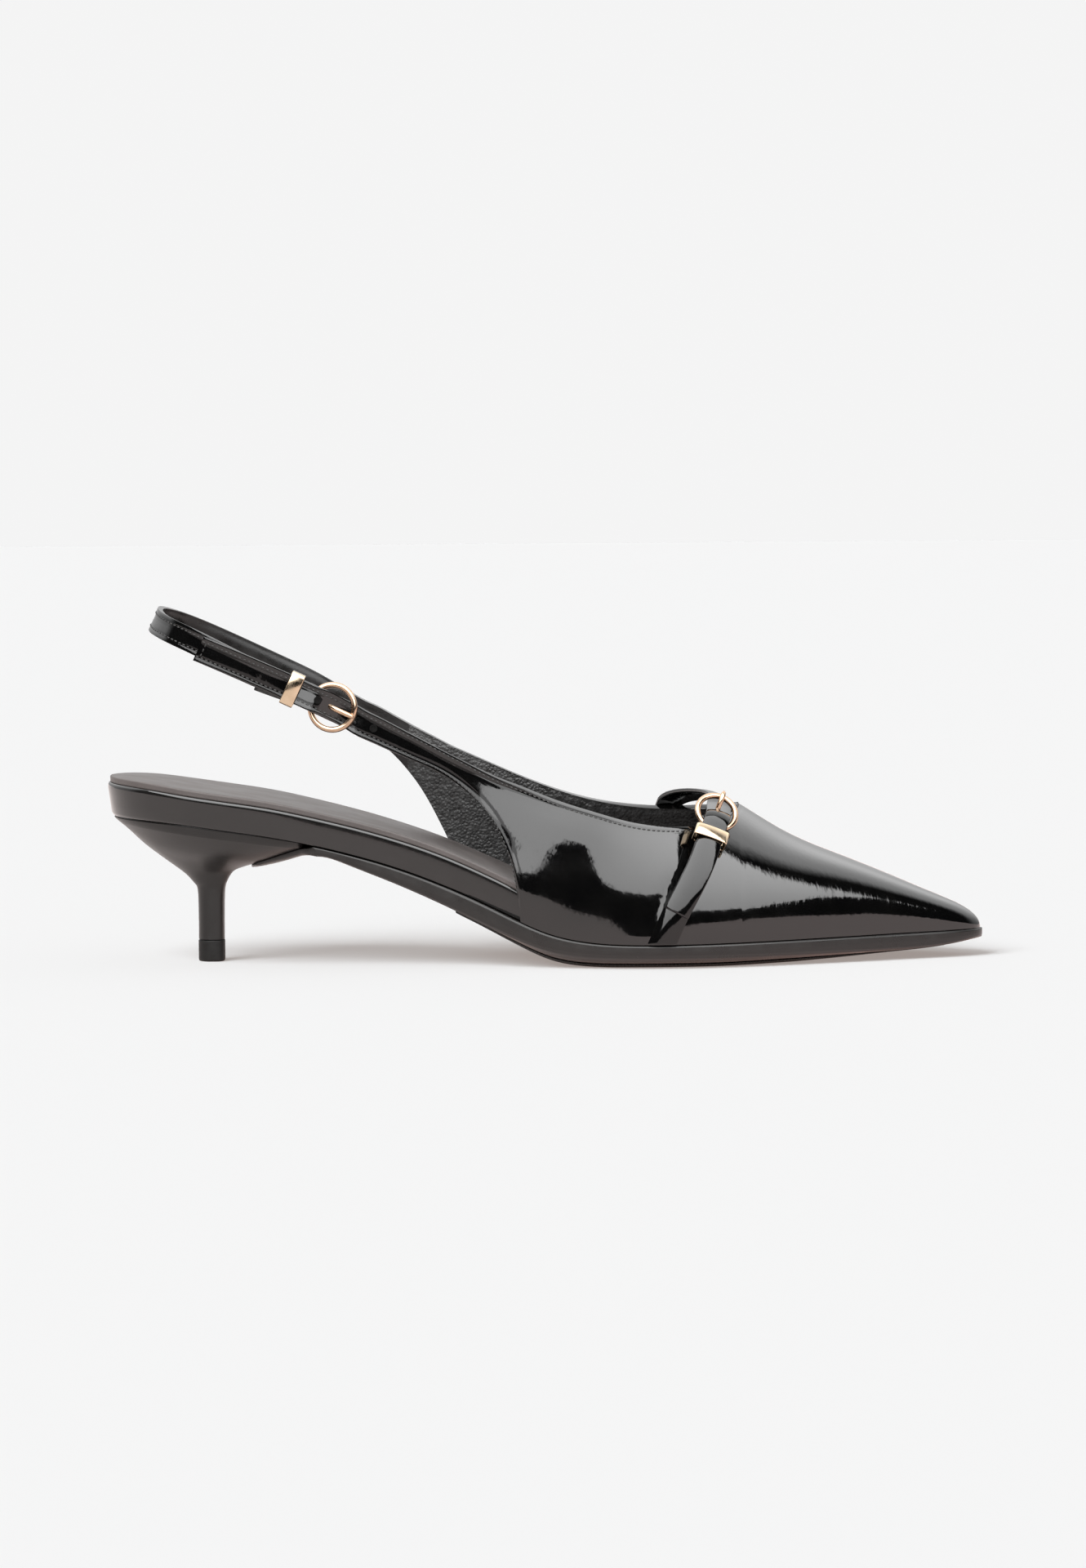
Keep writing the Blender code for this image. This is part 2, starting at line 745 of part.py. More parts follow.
def strap_rows(middles, width):
    """Rows across a strap whose width keeps one direction."""
    offsets = across_strap(width, GIRTH_STEPS)
    return [[np.array(middle) + STRAP_LEAN * offset for offset in offsets] for middle in middles]


def smooth_path(points, split):
    """Smooth curve through the points, measured by its length."""
    points = np.array(points, float)
    measure = np.concatenate([[0], np.cumsum(np.linalg.norm(np.diff(points, axis=0), axis=1))])
    curve = Table("length station side height", np.column_stack([measure, points]))
    places = []
    for a, b in zip(measure, measure[1:]):
        places += list(np.linspace(a, b, split, endpoint=False))
    places.append(measure[-1])
    return [[float(curve.at(name, s)) for name in ("station", "side", "height")] for s in places]


def hook_rows(frame, offsets, turns):
    """Rows of a strap's end that turn round the rear side of a ring and follow its curve."""
    middle, along, across, out = frame
    reach = WIRE + GAP
    rows = []
    for turn in turns:
        turn = math.radians(turn)
        row = []
        for offset in offsets:
            wire = across * offset - along * math.sqrt(RING_RADIUS ** 2 - offset ** 2)
            row.append(middle + wire + along * reach * math.sin(turn) - out * reach * math.cos(turn))
        rows.append(row)
    return rows


def make_upper(finish, group):
    lateral = wing_rows(-1, LATERAL_FRONT[1:], LATERAL_REAR[1:])
    medial = wing_rows(1, MEDIAL_FRONT[1:], MEDIAL_REAR[1:])
    lateral += strap_rows(smooth_path(LATERAL_STRAP[1:], 1), STRAP_WIDTH)
    medial += strap_rows(smooth_path(MEDIAL_STRAP[1:], 2), SLING_WIDTH)
    medial += hook_rows(sling_frame(), across_strap(SLING_WIDTH, GIRTH_STEPS), HOOK_TURNS)
    stations = [row[GIRTH_STEPS // 2][0] for row in lateral]
    front, back = SLING_HOLE
    middle = (GIRTH_STEPS // 2 - 1, GIRTH_STEPS // 2)
    hole = [i for i, station in enumerate(stations) if back + 0.1 < station <= front + 0.1]
    hook = range(len(medial) - len(HOOK_TURNS), len(medial) - 1)
    windows = {(1, r, c) for r in hole for c in middle} | {(2, r, c) for r in hook for c in middle}
    return sheet([toe_rows(), lateral, medial], "upper", WALL, finish, group, windows)


def unit(vector):
    return vector / np.linalg.norm(vector)


def on_upper(side, station, height):
    return section_point(station, side, girth_at(station, height, side))


def face_directions(side, station, height, step=0.2):
    """Along the foot, up the face and outwards, at a point of the upper's outer face."""
    along = (on_upper(side, station + step, height) - on_upper(side, station - step, height)) / (2 * step)
    up = (on_upper(side, station, height + step) - on_upper(side, station, height - step)) / (2 * step)
    return along, up, unit(np.cross(along, up)) * -side


class StrapCourse:
    """Course of a strap's middle up one side of the upper, measured by its length."""

    def __init__(self, side, table, low, high, zero):
        self.side = side
        self.table = table
        self.heights = np.linspace(low, high, 80)
        points = np.array([self.place(height) for height in self.heights])
        lengths = np.concatenate([[0], np.cumsum(np.linalg.norm(np.diff(points, axis=0), axis=1))])
        self.lengths = lengths - np.interp(zero, self.heights, lengths)

    def place(self, height):
        return on_upper(self.side, float(self.table.at("station", height)), height)

    def height_at(self, length):
        return float(np.interp(length, self.lengths, self.heights))

    def length_at(self, height):
        return float(np.interp(height, self.heights, self.lengths))

    def frame(self, length):
        """Point of the upper under the strap, and the directions along, across and outwards."""
        height = self.height_at(length)
        station = float(self.table.at("station", height))
        along = unit(self.place(height + 0.2) - self.place(height - 0.2))
        out = face_directions(self.side, station, height)[2]
        across = unit(np.cross(out, along))
        return self.place(height), along, across, out

    def row(self, length, lift):
        """Points across the strap, each lifted from the upper's own face."""
        height = self.height_at(length)
        station = float(self.table.at("station", height))
        across = self.frame(length)[2]
        forward, up, _ = face_directions(self.side, station, height)
        shift = np.linalg.lstsq(np.stack([forward, up], axis=1), across, rcond=None)[0]
        points = []
        for offset in across_strap(STRAP_WIDTH, INSTEP_COLUMNS):
            beside = station + shift[0] * offset
            level = max(height + shift[1] * offset, float(feather(beside)) + INSTEP_FOOT)
            out = face_directions(self.side, beside, level)[2]
            points.append(on_upper(self.side, beside, level) + out * lift)
        return points


def bridge(first, last, reach, count):
    """Rows between two pairs of rows that keep the direction at both ends."""
    start, start_way = first[1], [unit(b - a) * reach for a, b in zip(*first)]
    end, end_way = last[0], [unit(b - a) * reach for a, b in zip(*last)]
    rows = []
    for share in np.linspace(0, 1, count + 2)[1:-1]:
        handles = zip(start, start_way, end, end_way)
        rows.append([bezier(a, a + u / 3, b - v / 3, b, share) for a, u, b, v in handles])
    return rows


def lateral_course():
    low = float(feather(INSTEP_LATERAL.at("station", 7.0))) + INSTEP_FOOT
    return StrapCourse(-1, INSTEP_LATERAL, low, 48.0, INSTEP_RING_HEIGHT)


def make_instep_strap(finish, group):
    course = lateral_course()
    first = course.length_at(INSTEP_END_HEIGHT)
    last = course.length_at(INSTEP_BRIDGE_HEIGHT)
    knots = [length for length, _ in FREE_LIFT if first < length < last]
    lengths = [*np.linspace(first, knots[0], 5, endpoint=False), *knots, last]
    rows = [course.row(s, np.interp(s, *zip(*FREE_LIFT))) for s in lengths]
    low = float(feather(INSTEP_MEDIAL.at("station", 8.0))) + INSTEP_FOOT
    medial = StrapCourse(1, INSTEP_MEDIAL, low, INSTEP_MEDIAL_TOP, INSTEP_MEDIAL_TOP)
    far = [medial.row(s, LIFT_ON_UPPER)[::-1] for s in np.linspace(0, medial.lengths[0], 8)]
    rows = rows + bridge(rows[-2:], far[:2], INSTEP_BRIDGE_REACH, 7) + far
    start = lengths.index(INSTEP_HOLE[0])
    middle = INSTEP_COLUMNS // 2
    windows = {(0, start, middle - 1), (0, start, middle)}
    return sheet([rows], "instep_strap", STRAP, finish, group, windows)


def make_instep_anchor(finish, group):
    """Fixed strap from the sole's edge to the ring, hooked round the ring's lower side."""
    course = lateral_course()
    first, last = course.lengths[0], -RING_RADIUS
    knots = [length for length, _ in ANCHOR_LIFT if first < length < last]
    lengths = [*np.linspace(first, knots[0], 7, endpoint=False), *knots, last]
    rows = [course.row(s, np.interp(s, *zip(*ANCHOR_LIFT))) for s in lengths]
    rows += hook_rows(instep_frame(), across_strap(STRAP_WIDTH, INSTEP_COLUMNS), HOOK_TURNS[1:])
    half = INSTEP_COLUMNS // 2
    windows = {(0, r, c) for r in range(len(rows) - 4, len(rows) - 1) for c in (half - 1, half)}
    return sheet([rows], "instep_strap_anchor", STRAP, finish, group, windows)


def placed(origin, along, across, out):
    """Matrix that puts a local along, across, out frame at a point of the shoe."""
    columns = [Vector(axis).to_4d() for axis in (along, across, out)]
    matrix = Matrix.Identity(4)
    for i, column in enumerate(columns):
        for j in range(3):
            matrix[j][i] = column[j]
    matrix.translation = to_world(origin)
    return matrix


def make_ring(name, frame, finish, group):
    bpy.ops.mesh.primitive_torus_add(
        major_radius=RING_RADIUS * 0.001,
        minor_radius=WIRE * 0.001,
        major_segments=RING_SEGMENTS,
        minor_segments=WIRE_SEGMENTS,
    )
    ring = bpy.context.object
    ring.name = name
    ring.data.name = name
    ring.data.materials.append(finish)
    ring.data.shade_smooth()
    for owner in list(ring.users_collection):
        owner.objects.unlink(ring)
    group.objects.link(ring)
    ring.matrix_world = placed(*frame)
    return ring


def make_prong(name, frame, finish, group):
    """Bent pin from the ring's rear side, up through the strap and over the ring's far side."""
    data = bpy.data.curves.new(name, "CURVE")
    data.dimensions = "3D"
    data.bevel_depth = PRONG * 0.001
    data.bevel_resolution = 2
    data.use_fill_caps = True
    line = data.splines.new("POLY")
    line.points.add(len(PRONG_COURSE) - 2)
    for point, (along, out) in zip(line.points, PRONG_COURSE[1:]):
        point.co = (along * 0.001, 0.0, out * 0.001, 1.0)
    prong = add_object(name, data, finish, group)
    prong.matrix_world = placed(*frame)
    return prong


def make_keeper(name, frame, depth, finish, group):
    """Flat metal loop round two straps. Its frame stands on the middle of its inner plate's outer face."""
    origin, along, across, out = frame
    half = STRAP_WIDTH / 2 + GAP + KEEPER_METAL
    bore = KEEPER_CORNER - KEEPER_METAL
    edges = ((KEEPER_CORNER, -0.5), (KEEPER_CORNER, 0.5), (bore, 0.5), (bore, -0.5))
    build = bmesh.new()
    rings = []
    for turn in np.linspace(0, 2 * math.pi, KEEPER_SEGMENTS, endpoint=False):
        turn += math.pi / KEEPER_SEGMENTS
        side = math.copysign(half - KEEPER_CORNER, math.cos(turn))
        level = depth / 2 + math.copysign(depth / 2 - KEEPER_CORNER, math.sin(turn))
        ring = []
        for radius, shift in edges:
            spot = across * (side + radius * math.cos(turn)) + out * (level + radius * math.sin(turn))
            ring.append(build.verts.new(to_world(origin + spot + along * shift * KEEPER_WIDTH)))
        rings.append(ring)
    for near, far in zip(rings, rings[1:] + rings[:1]):
        for i in range(4):
            build.faces.new((near[i], near[(i + 1) % 4], far[(i + 1) % 4], far[i]))
    return finish_mesh(build, name, finish, group)


def sling_frame():
    """Ring of the sling strap: middle, direction from its rear side to its front, width, outwards."""
    rear, front = np.array(SLING_BAR), np.array(SLING_RING_FRONT)
    along = unit(front - rear)
    out = unit(np.cross(along, STRAP_LEAN))
    return rear + along * RING_RADIUS, along, np.cross(out, along), out


def sling_keeper_frame():
    """Keeper of the sling strap, upright across the strap."""
    along = unit(sling_frame()[1] * np.array([1, 0, 1]))
    out = np.array([0.0, -1.0, 0.0])
    return np.array(SLING_KEEPER), along, np.cross(out, along), out


def instep_frame():
    """Ring of the instep strap, standing on the two straps that it joins."""
    course = lateral_course()
    low, _, across, low_out = course.frame(-RING_RADIUS)
    high, _, _, high_out = course.frame(RING_RADIUS)
    rear = low + low_out * LIFT_OF_BAR
    front = high + high_out * (LIFT_ON_UPPER + GAP + WIRE + RING_SLACK)
    along = unit(front - rear)
    out = unit(np.cross(along, across))
    return rear + along * RING_RADIUS, along, np.cross(out, along), out


def instep_keeper_frame():
    origin, along, across, out = lateral_course().frame(-KEEPER_FROM_RING)
    return origin + out * GAP, along, across, out


def main():
    clear_scene()
    group = bpy.data.collections.new("slingback_pump")
    bpy.context.scene.collection.children.link(group)
    black_sole = material("moulded_black", (0.012, 0.011, 0.011), 0.35)
    patent = material("black_patent", (0.006, 0.006, 0.007), 0.08)
    sock = material("brown_sock", (0.075, 0.065, 0.06), 0.5)
    gold = material("pale_gold", (0.83, 0.62, 0.38), 0.2, 1.0)
    make_outsole(black_sole, group)
    make_tread_pad(black_sole, group)
    make_board(patent, group)
    make_heel(patent, group)
    make_top_lift(black_sole, group)
    make_insole(sock, group)
    make_upper(patent, group)
    make_instep_anchor(patent, group)
    make_instep_strap(patent, group)
    make_ring("sling_ring", sling_frame(), gold, group)
    make_prong("sling_prong", sling_frame(), gold, group)
    make_keeper("sling_keeper", sling_keeper_frame(), SLING_KEEPER_DEPTH, gold, group)
    make_ring("instep_ring", instep_frame(), gold, group)
    make_prong("instep_prong", instep_frame(), gold, group)
    instep_depth = LIFT_IN_KEEPER + LIFT_ON_UPPER + KEEPER_METAL
    make_keeper("instep_keeper", instep_keeper_frame(), instep_depth, gold, group)


main()
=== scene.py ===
"""Right slingback pump in black patent leather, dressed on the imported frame.

Sizes are in millimetres: the station is the distance from the back of the heel towards the toe, lateral
is -Y, medial is +Y, and the floor is z = 0.
"""

import math

import bmesh
import bpy
import numpy as np
from mathutils import Matrix, Vector


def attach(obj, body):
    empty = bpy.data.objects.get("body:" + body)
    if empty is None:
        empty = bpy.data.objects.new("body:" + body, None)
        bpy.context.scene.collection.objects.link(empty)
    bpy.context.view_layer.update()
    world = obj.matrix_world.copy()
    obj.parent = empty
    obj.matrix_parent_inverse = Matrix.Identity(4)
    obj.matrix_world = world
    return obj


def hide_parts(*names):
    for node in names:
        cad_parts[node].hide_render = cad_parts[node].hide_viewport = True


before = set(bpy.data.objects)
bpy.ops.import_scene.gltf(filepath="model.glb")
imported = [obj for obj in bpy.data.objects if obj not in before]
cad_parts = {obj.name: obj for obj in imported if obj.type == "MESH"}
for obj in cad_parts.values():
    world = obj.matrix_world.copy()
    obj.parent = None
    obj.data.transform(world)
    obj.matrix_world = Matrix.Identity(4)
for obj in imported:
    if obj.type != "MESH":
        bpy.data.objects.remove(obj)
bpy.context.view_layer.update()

LENGTH = 257.0
TOE_LIP = 0.6
WALL = 1.6
GAP = 0.3
UPPER_LENGTH = LENGTH - TOE_LIP
BOARD_LENGTH = UPPER_LENGTH - WALL - GAP
SOCK = 1.6
SOCK_END = 238.0
SOCK_INSET = 0.7
SOCK_MOST = 0.6                     # most inset of its upper rings, as a share of the half width
PAD = 0.8
PAD_START = 101.0
PAD_END = 246.0
PAD_INSET = 7.0
PAD_LEAST = 0.2
PAD_TIP = 0.02                      # share of the depth that is left at the front
LIFT_HEIGHT = 6.2
LIFT_EDGE = (                       # how far outside the post, and height
    (0.0, 6.2), (0.1, 6.05), (0.1, 5.9), (0.1, 3.0),
    (0.1, 0.7), (0.05, 0.3), (-0.1, 0.1), (-0.5, 0.0),
)
STRAP_WIDTH = 7.6
SLING_WIDTH = 7.0
STRAP = 1.2
STRAP_ROUND = 0.38
UPPER_ROUND = 0.42
SLING_TAIL = (1.1, 0.3)             # thickness, and how far its edges are rounded
RING_RADIUS = 6.5
WIRE = 0.75
RING_WIRE = 0.88
INSTEP_RADIUS = 5.7
RING_STAND = 22.0
RING_SHIFT = np.array([-1.0, 0.0, -1.1])
PRONG = 0.65
PRONG_PIN = 0.78
KEEPER_WIDTH = 4.0
KEEPER_EASE = 0.35
KEEPER_BOW = 0.3
KEEPER_METAL = 0.6
KEEPER_CORNER = 1.0
KEEPER_SOFT = 0.22
THROAT = 185.2
BOARD_TUCK = ((100, 125, 230, 254), (0.0, 0.3, 0.3, 1.0))
BREAST_END = 61.0
BREAST_BLEND = 1.2
TONGUE_END = 42.0
TONGUE_TURN = 78.0
TONGUE_SHARE = 0.8
LIP_GAP = 0.1
PAD_FADE = 45.0
LIFT_EASE = 1.3
LIP_START = 96.0
LIP_FULL = 124.0
BOARD_LEAN = 1.3
BOARD_LEAN_END = 60.0
STRAP_LEAN = np.array([0.44, 0.0, 0.898])
SLING_LEAN = ((28.0, 50.0, 62.0, 71.0), (-0.02, 0.0, 0.12, 0.1))
PLAN_START = 0.012                  # angle from the heel's back, and from the toe's tip, where plans start
PAD_EDGE = ((0.0, 0.0), (0.0, 0.6), (0.15, 0.9), (0.5, 1.0))      # inset and share of the pad's depth
HEEL_POINTS = 161
FACE_STEP = 0.2
ROW_COLUMNS = 12
EDGE_COLUMNS = np.array([0.0, 0.6, 1.1, 1.5, 1.9, 2.3, 2.8])      # distances from the edge of a row
WING_SPLIT = 6                      # rows drawn for each row of the wing lists
WING_REAR_STEP = 3                  # every third of them shapes the rear of the wing
LATERAL_REAR_ROWS = 150
MEDIAL_REAR_ROWS = 250


def heel_to_toe_angle(station, length):
    """Angle from 0 at the heel's back to pi at the toe, so that both ends come out round."""
    return np.arccos(np.clip(1 - 2 * np.asarray(station, float) / length, -1, 1))


def board_angle(station):
    return heel_to_toe_angle(station, BOARD_LENGTH)


def upper_angle(station):
    return heel_to_toe_angle(station, UPPER_LENGTH)


def as_given(value):
    return np.asarray(value, float)


def natural_bends(knots, values):
    """Second derivatives of the natural cubic curves through columns of values."""
    count = len(knots)
    step = np.diff(knots)
    slope = np.diff(values, axis=0) / step[:, None]
    matrix = np.eye(count)
    right = np.zeros_like(values)
    for i in range(1, count - 1):
        matrix[i, i - 1:i + 2] = step[i - 1], 2 * (step[i - 1] + step[i]), step[i]
        right[i] = 6 * (slope[i] - slope[i - 1])
    return np.linalg.solve(matrix, right)


def along_curve(knots, values, bends, place):
    place = np.asarray(place, float)
    i = np.clip(np.searchsorted(knots, place) - 1, 0, len(knots) - 2)
    step = (knots[i + 1] - knots[i])[..., None]
    far = (place - knots[i])[..., None] / step
    near = 1 - far
    curve = (near ** 3 - near) * bends[i] + (far ** 3 - far) * bends[i + 1]
    return near * values[i] + far * values[i + 1] + curve * step ** 2 / 6


class Table:
    """A short table with named columns. Each column is a smooth curve over the first one."""

    def __init__(self, columns, rows, measure=as_given):
        values = np.array(rows, float)
        self.measure = measure
        self.knots = measure(values[:, 0])
        self.names = columns.split()[1:]
        self.values = values[:, 1:]
        self.bends = natural_bends(self.knots, self.values)

    def at(self, name, value):
        return self.at_measure(name, self.measure(value))

    def at_measure(self, name, place):
        i = self.names.index(name)
        return along_curve(self.knots, self.values[:, i:i + 1], self.bends[:, i:i + 1], place)[..., 0]

    def row_at(self, value):
        return [self.at(name, value) for name in self.names]

    def straight_row(self, place):
        """All columns at a place, along straight lines between the rows."""
        return [np.interp(place, self.knots, column) for column in self.values.T]


BOARD = Table("station swing half_width", [
    (0.0, 0.0, 0.0),
    (8.0, 0.0, 18.0),
    (26.0, 0.0, 26.2),
    (50.0, -0.3, 26.4),
    (76.0, -1.5, 24.4),
    (100.0, -2.6, 23.6),
    (121.0, -3.0, 26.3),
    (141.0, -2.2, 31.0),
    (160.0, -0.4, 34.2),
    (175.0, 1.2, 34.2),
    (193.0, 2.6, 30.0),
    (213.0, 3.3, 22.4),
    (233.0, 3.3, 13.5),
    (246.0, 3.0, 7.6),
    (BOARD_LENGTH, 2.8, 0.0),
], board_angle)

RISE = Table("station feather board", [
    (0.0, 43.4, 9.8),
    (12.0, 42.8, 9.3),
    (24.0, 41.7, 8.6),
    (36.0, 40.1, 8.4),
    (48.0, 38.3, 8.3),
    (60.0, 35.9, 8.1),
    (71.0, 33.2, 8.1),
    (88.0, 28.0, 8.3),
    (100.0, 23.3, 8.6),
    (110.0, 18.9, 8.6),
    (119.0, 14.6, 8.5),
    (128.0, 10.7, 7.6),
    (140.0, 8.0, 6.0),
    (158.0, 7.1, 4.6),
    (175.0, 7.2, 4.0),
    (214.0, 7.7, 3.2),
    (238.0, 8.0, 2.2),
    (BOARD_LENGTH, 8.2, 1.2),
])

SOLE = Table("station edge keel", [
    (TONGUE_END, 27.7, 27.5),
    (48.0, 29.2, 28.9),
    (54.0, 30.9, 30.6),
    (62.0, 32.6, 32.4),
    (71.0, 30.0, 29.8),
    (82.5, 25.3, 25.2),
    (99.6, 17.7, 17.5),
    (109.3, 13.1, 12.8),
    (121.5, 8.0, 6.6),
    (130.0, 5.6, 3.0),
    (139.0, 4.4, 1.45),
    (148.0, 3.9, PAD + GAP),
    (163.0, 3.7, PAD + GAP),
    (178.0, 3.6, PAD + GAP),
    (197.0, 3.5, 1.45),
    (215.0, 3.3, 1.95),
    (231.0, 3.2, 2.55),
    (241.0, 3.5, 3.0),
    (250.0, 4.5, 4.0),
    (LENGTH, 5.9, 5.4),
])

BOARD_EDGE = Table("ring inset lean rise", [
    (0, 2.2, 1.0, 0.0),
    (1, 0.25, 1.0, 0.015),
    (2, 0.0, 0.8, 0.1),
    (3, 0.0, 0.0, 0.85),
    (4, 0.07, 0.0, 0.94),
    (5, 0.36, 0.0, 0.99),
    (6, 1.1, 0.0, 1.0),
])

SOLE_EDGE = Table("ring inset most to_edge to_top", [
    (0, 6.5, 0.75, 0.0, 0.0),
    (1, 3.4, 0.45, 0.22, 0.0),
    (2, 1.2, 0.2, 0.75, 0.0),
    (3, 0.35, 0.05, 1.0, 0.12),
    (4, 0.0, 0.0, 1.0, 0.42),
    (5, 0.0, 0.0, 1.0, 0.95),
    (6, 0.3, 0.05, 1.0, 1.0),
])

SOCK_EDGE = Table("ring inset rise", [
    (0, 0.0, -0.16),
    (1, 0.0, 0.6),
    (2, 0.5, 1.0),
    (3, 4.0, 1.06),
])

HEEL_SEAT = (1.8, 60.0, 25.0, 5.0)
SEAM = ((0.5, 0.05), (0.45, 0.35), (0.0, 0.42))      # inset and depth of the groove under the band
HEEL_SHOULDER = (0.35, 0.2, 0.1, 0.6)      # inset behind, in front and at the sides, and share of the seat
BREAST_ROWS = (5, 1)                # rows of the heel's front face, from the post up
HEEL = Table("row back_station back_height front_station front_height half_width front_power", [
    (1, 2.9, 41.8, 59.4, 34.3, 24.4, 5.0),
    (2, 6.0, 39.2, 53.0, 32.1, 21.2, 4.5),
    (3, 10.0, 35.4, 47.5, 30.2, 17.2, 4.0),
    (4, 14.5, 31.8, 43.0, 28.9, 13.0, 3.5),
    (5, 19.5, 28.1, 39.2, 27.7, 9.2, 3.0),
    (6, 23.0, 25.3, 36.4, 26.2, 6.8, 3.0),
    (7, 25.2, 22.8, 34.8, 23.6, 5.2, 3.0),
    (8, 26.1, 19.5, 34.0, 19.6, 4.4, 3.0),
    (9, 26.2, LIFT_HEIGHT + GAP, 33.8, LIFT_HEIGHT + GAP, 4.1, 3.0),
])

UPPER = Table("station ridge_height ridge_swing side_handle side_lean ridge_handle", [
    (60.0, 128.0, -0.4, 0.35, 0.0, 0.50),
    (76.0, 112.0, -0.5, 0.35, 0.0, 0.50),
    (100.0, 100.0, -0.6, 0.42, 0.0, 0.48),
    (121.0, 88.0, -0.6, 0.48, 0.3, 0.45),
    (141.0, 68.0, -0.2, 0.52, 1.8, 0.42),
    (160.0, 54.0, 0.6, 0.55, 2.4, 0.41),
    (172.0, 45.8, 1.6, 0.58, 2.8, 0.43),
    (THROAT, 37.9, 2.5, 0.68, 2.8, 0.50),
    (197.7, 30.0, 3.1, 0.80, 2.2, 0.62),
    (215.4, 21.8, 3.5, 0.92, 1.2, 0.76),
    (233.2, 14.3, 3.4, 0.96, 1.0, 0.80),
    (242.0, 10.5, 3.2, 0.94, 0.8, 0.78),
    (251.0, 6.4, 2.9, 0.84, 0.45, 0.72),
    (UPPER_LENGTH, 0.0, 2.8, 0.60, 0.0, 0.60),
], upper_angle)

# Rows of the wings from the throat back to the strap, each from its lower edge up to the topline. In front:
# low station, top station and top height. Behind: low station, low height, top station and top height.
LATERAL_FRONT = [
    (THROAT, THROAT, None),
    (183.4, 183.6, 44.2),
    (180.6, 181.0, 42.5),
    (176.0, 176.5, 41.1),
    (169.5, 170.0, 40.4),
    (160.5, 161.0, 40.7),
    (150.0, 150.5, 42.3),
    (139.5, 140.0, 45.2),
    (129.5, 130.0, 49.1),
    (121.0, 122.0, 52.5),
]
LATERAL_REAR = [
    (119.6, 25.5, 115.5, 55.0),
    (117.0, 35.0, 109.5, 57.7),
    (112.5, 43.8, 104.0, 60.4),
    (106.2, 50.7, 98.5, 63.2),
    (98.5, 56.2, 93.0, 66.2),
    (90.0, 60.2, 87.5, 69.1),
    (82.0, 63.8, 82.4, 71.8),
    (74.0, 67.5, 77.4, 74.4),
]
MEDIAL_FRONT = [
    (THROAT, THROAT, None),
    (183.4, 183.6, 44.6),
    (180.6, 181.0, 43.8),
    (175.5, 176.0, 43.3),
    (168.5, 169.0, 42.9),
    (159.5, 160.0, 42.9),
    (148.0, 148.0, 44.2),
    (135.0, 135.5, 47.2),
    (122.0, 123.0, 51.8),
    (112.0, 113.0, 56.2),
    (104.0, 105.0, 59.8),
]
MEDIAL_REAR = [
    (102.0, 27.5, 101.0, 61.6),
    (99.3, 34.2, 97.4, 63.5),
    (95.7, 41.8, 94.0, 65.3),
    (92.0, 48.6, 90.6, 67.1),
    (88.0, 54.3, 87.2, 69.0),
    (83.5, 59.4, 83.6, 71.0),
    (78.2, 63.9, 79.7, 73.2),
    (72.6, 68.2, 75.8, 75.0),
]

# Middle of the sling strap behind the wings: station, side, height
LATERAL_STRAP = [
    (71.3, -24.6, 73.6),
    (67.3, -25.1, 75.6),
    (62.6, -26.35, 78.0),
    (60.4, -26.2, 79.0),
    (56.0, -25.5, 81.0),
    (50.0, -25.0, 83.6),
    (40.0, -24.2, 88.0),
    (33.5, -23.2, 90.8),
    (28.2, -21.9, 93.0),
]
MEDIAL_STRAP = [
    (62.2, 22.4, 78.9),
    (50.0, 22.4, 85.1),
    (38.0, 21.6, 90.8),
    (28.4, 19.7, 95.3),
    (20.2, 15.5, 98.9),
    (15.5, 8.8, 100.7),
    (14.0, 0.0, 101.0),
    (15.3, -8.7, 100.0),
    (19.7, -15.4, 97.9),
    (28.0, -19.8, 94.2),
    (40.0, -22.0, 88.2),
    (50.0, -22.8, 83.6),
    (57.0, -22.7, 80.5),
]
# Tail of the heel strap, folded back inside the buckle
SLING_RETURN = [
    (60.0, -19.9, 78.6),
    (55.0, -19.4, 80.4),
    (50.0, -19.2, 82.2),
    (45.5, -19.1, 83.9),
]
SLING_BAR = (61.2, -23.3, 78.5)
SLING_RING_FRONT = (73.0, -25.9, 73.0)
SLING_KEEPER = (55.4, -20.2, 81.1)
SLING_KEEPER_DEPTH = 6.2
HOOK_TURNS = (0.0, 25.0, 50.0, 75.0, 100.0)

INSTEP_LATERAL = Table("height station", [
    (7.0, 161.6),
    (17.0, 166.2),
    (28.7, 172.6),
    (38.0, 176.2),
    (44.0, 178.4),
    (48.0, 179.8),
])
INSTEP_MEDIAL = Table("height station", [
    (8.0, 153.0),
    (20.0, 157.6),
    (32.0, 161.6),
    (43.5, 165.4),
])
INSTEP_LOW = 7.0
INSTEP_TOP = 48.0
INSTEP_MEDIAL_LOW = 8.0
INSTEP_COLUMNS = 21
INSTEP_FOOT = 0.5
INSTEP_END_HEIGHT = 16.2
INSTEP_RING_HEIGHT = 42.6
INSTEP_BRIDGE_HEIGHT = 46.4
INSTEP_BRIDGE_REACH = 18.0
INSTEP_MEDIAL_TOP = 43.0
KEEPER_FROM_RING = 10.6
STRAP_LANDS = 31.0                  # how far below the ring the straps come to lie on the upper
RING_SLACK = 0.12
LIFT_ON_UPPER = GAP + STRAP
LIFT_IN_KEEPER = 2 * GAP + KEEPER_METAL + STRAP
LIFT_OF_BAR = LIFT_IN_KEEPER + GAP + WIRE
STRAP_CROWN = 0.85
CROWN_SHIFT = 0.2
CROWN_MIDDLE = 0.55
CROWN_POWER = 2.4
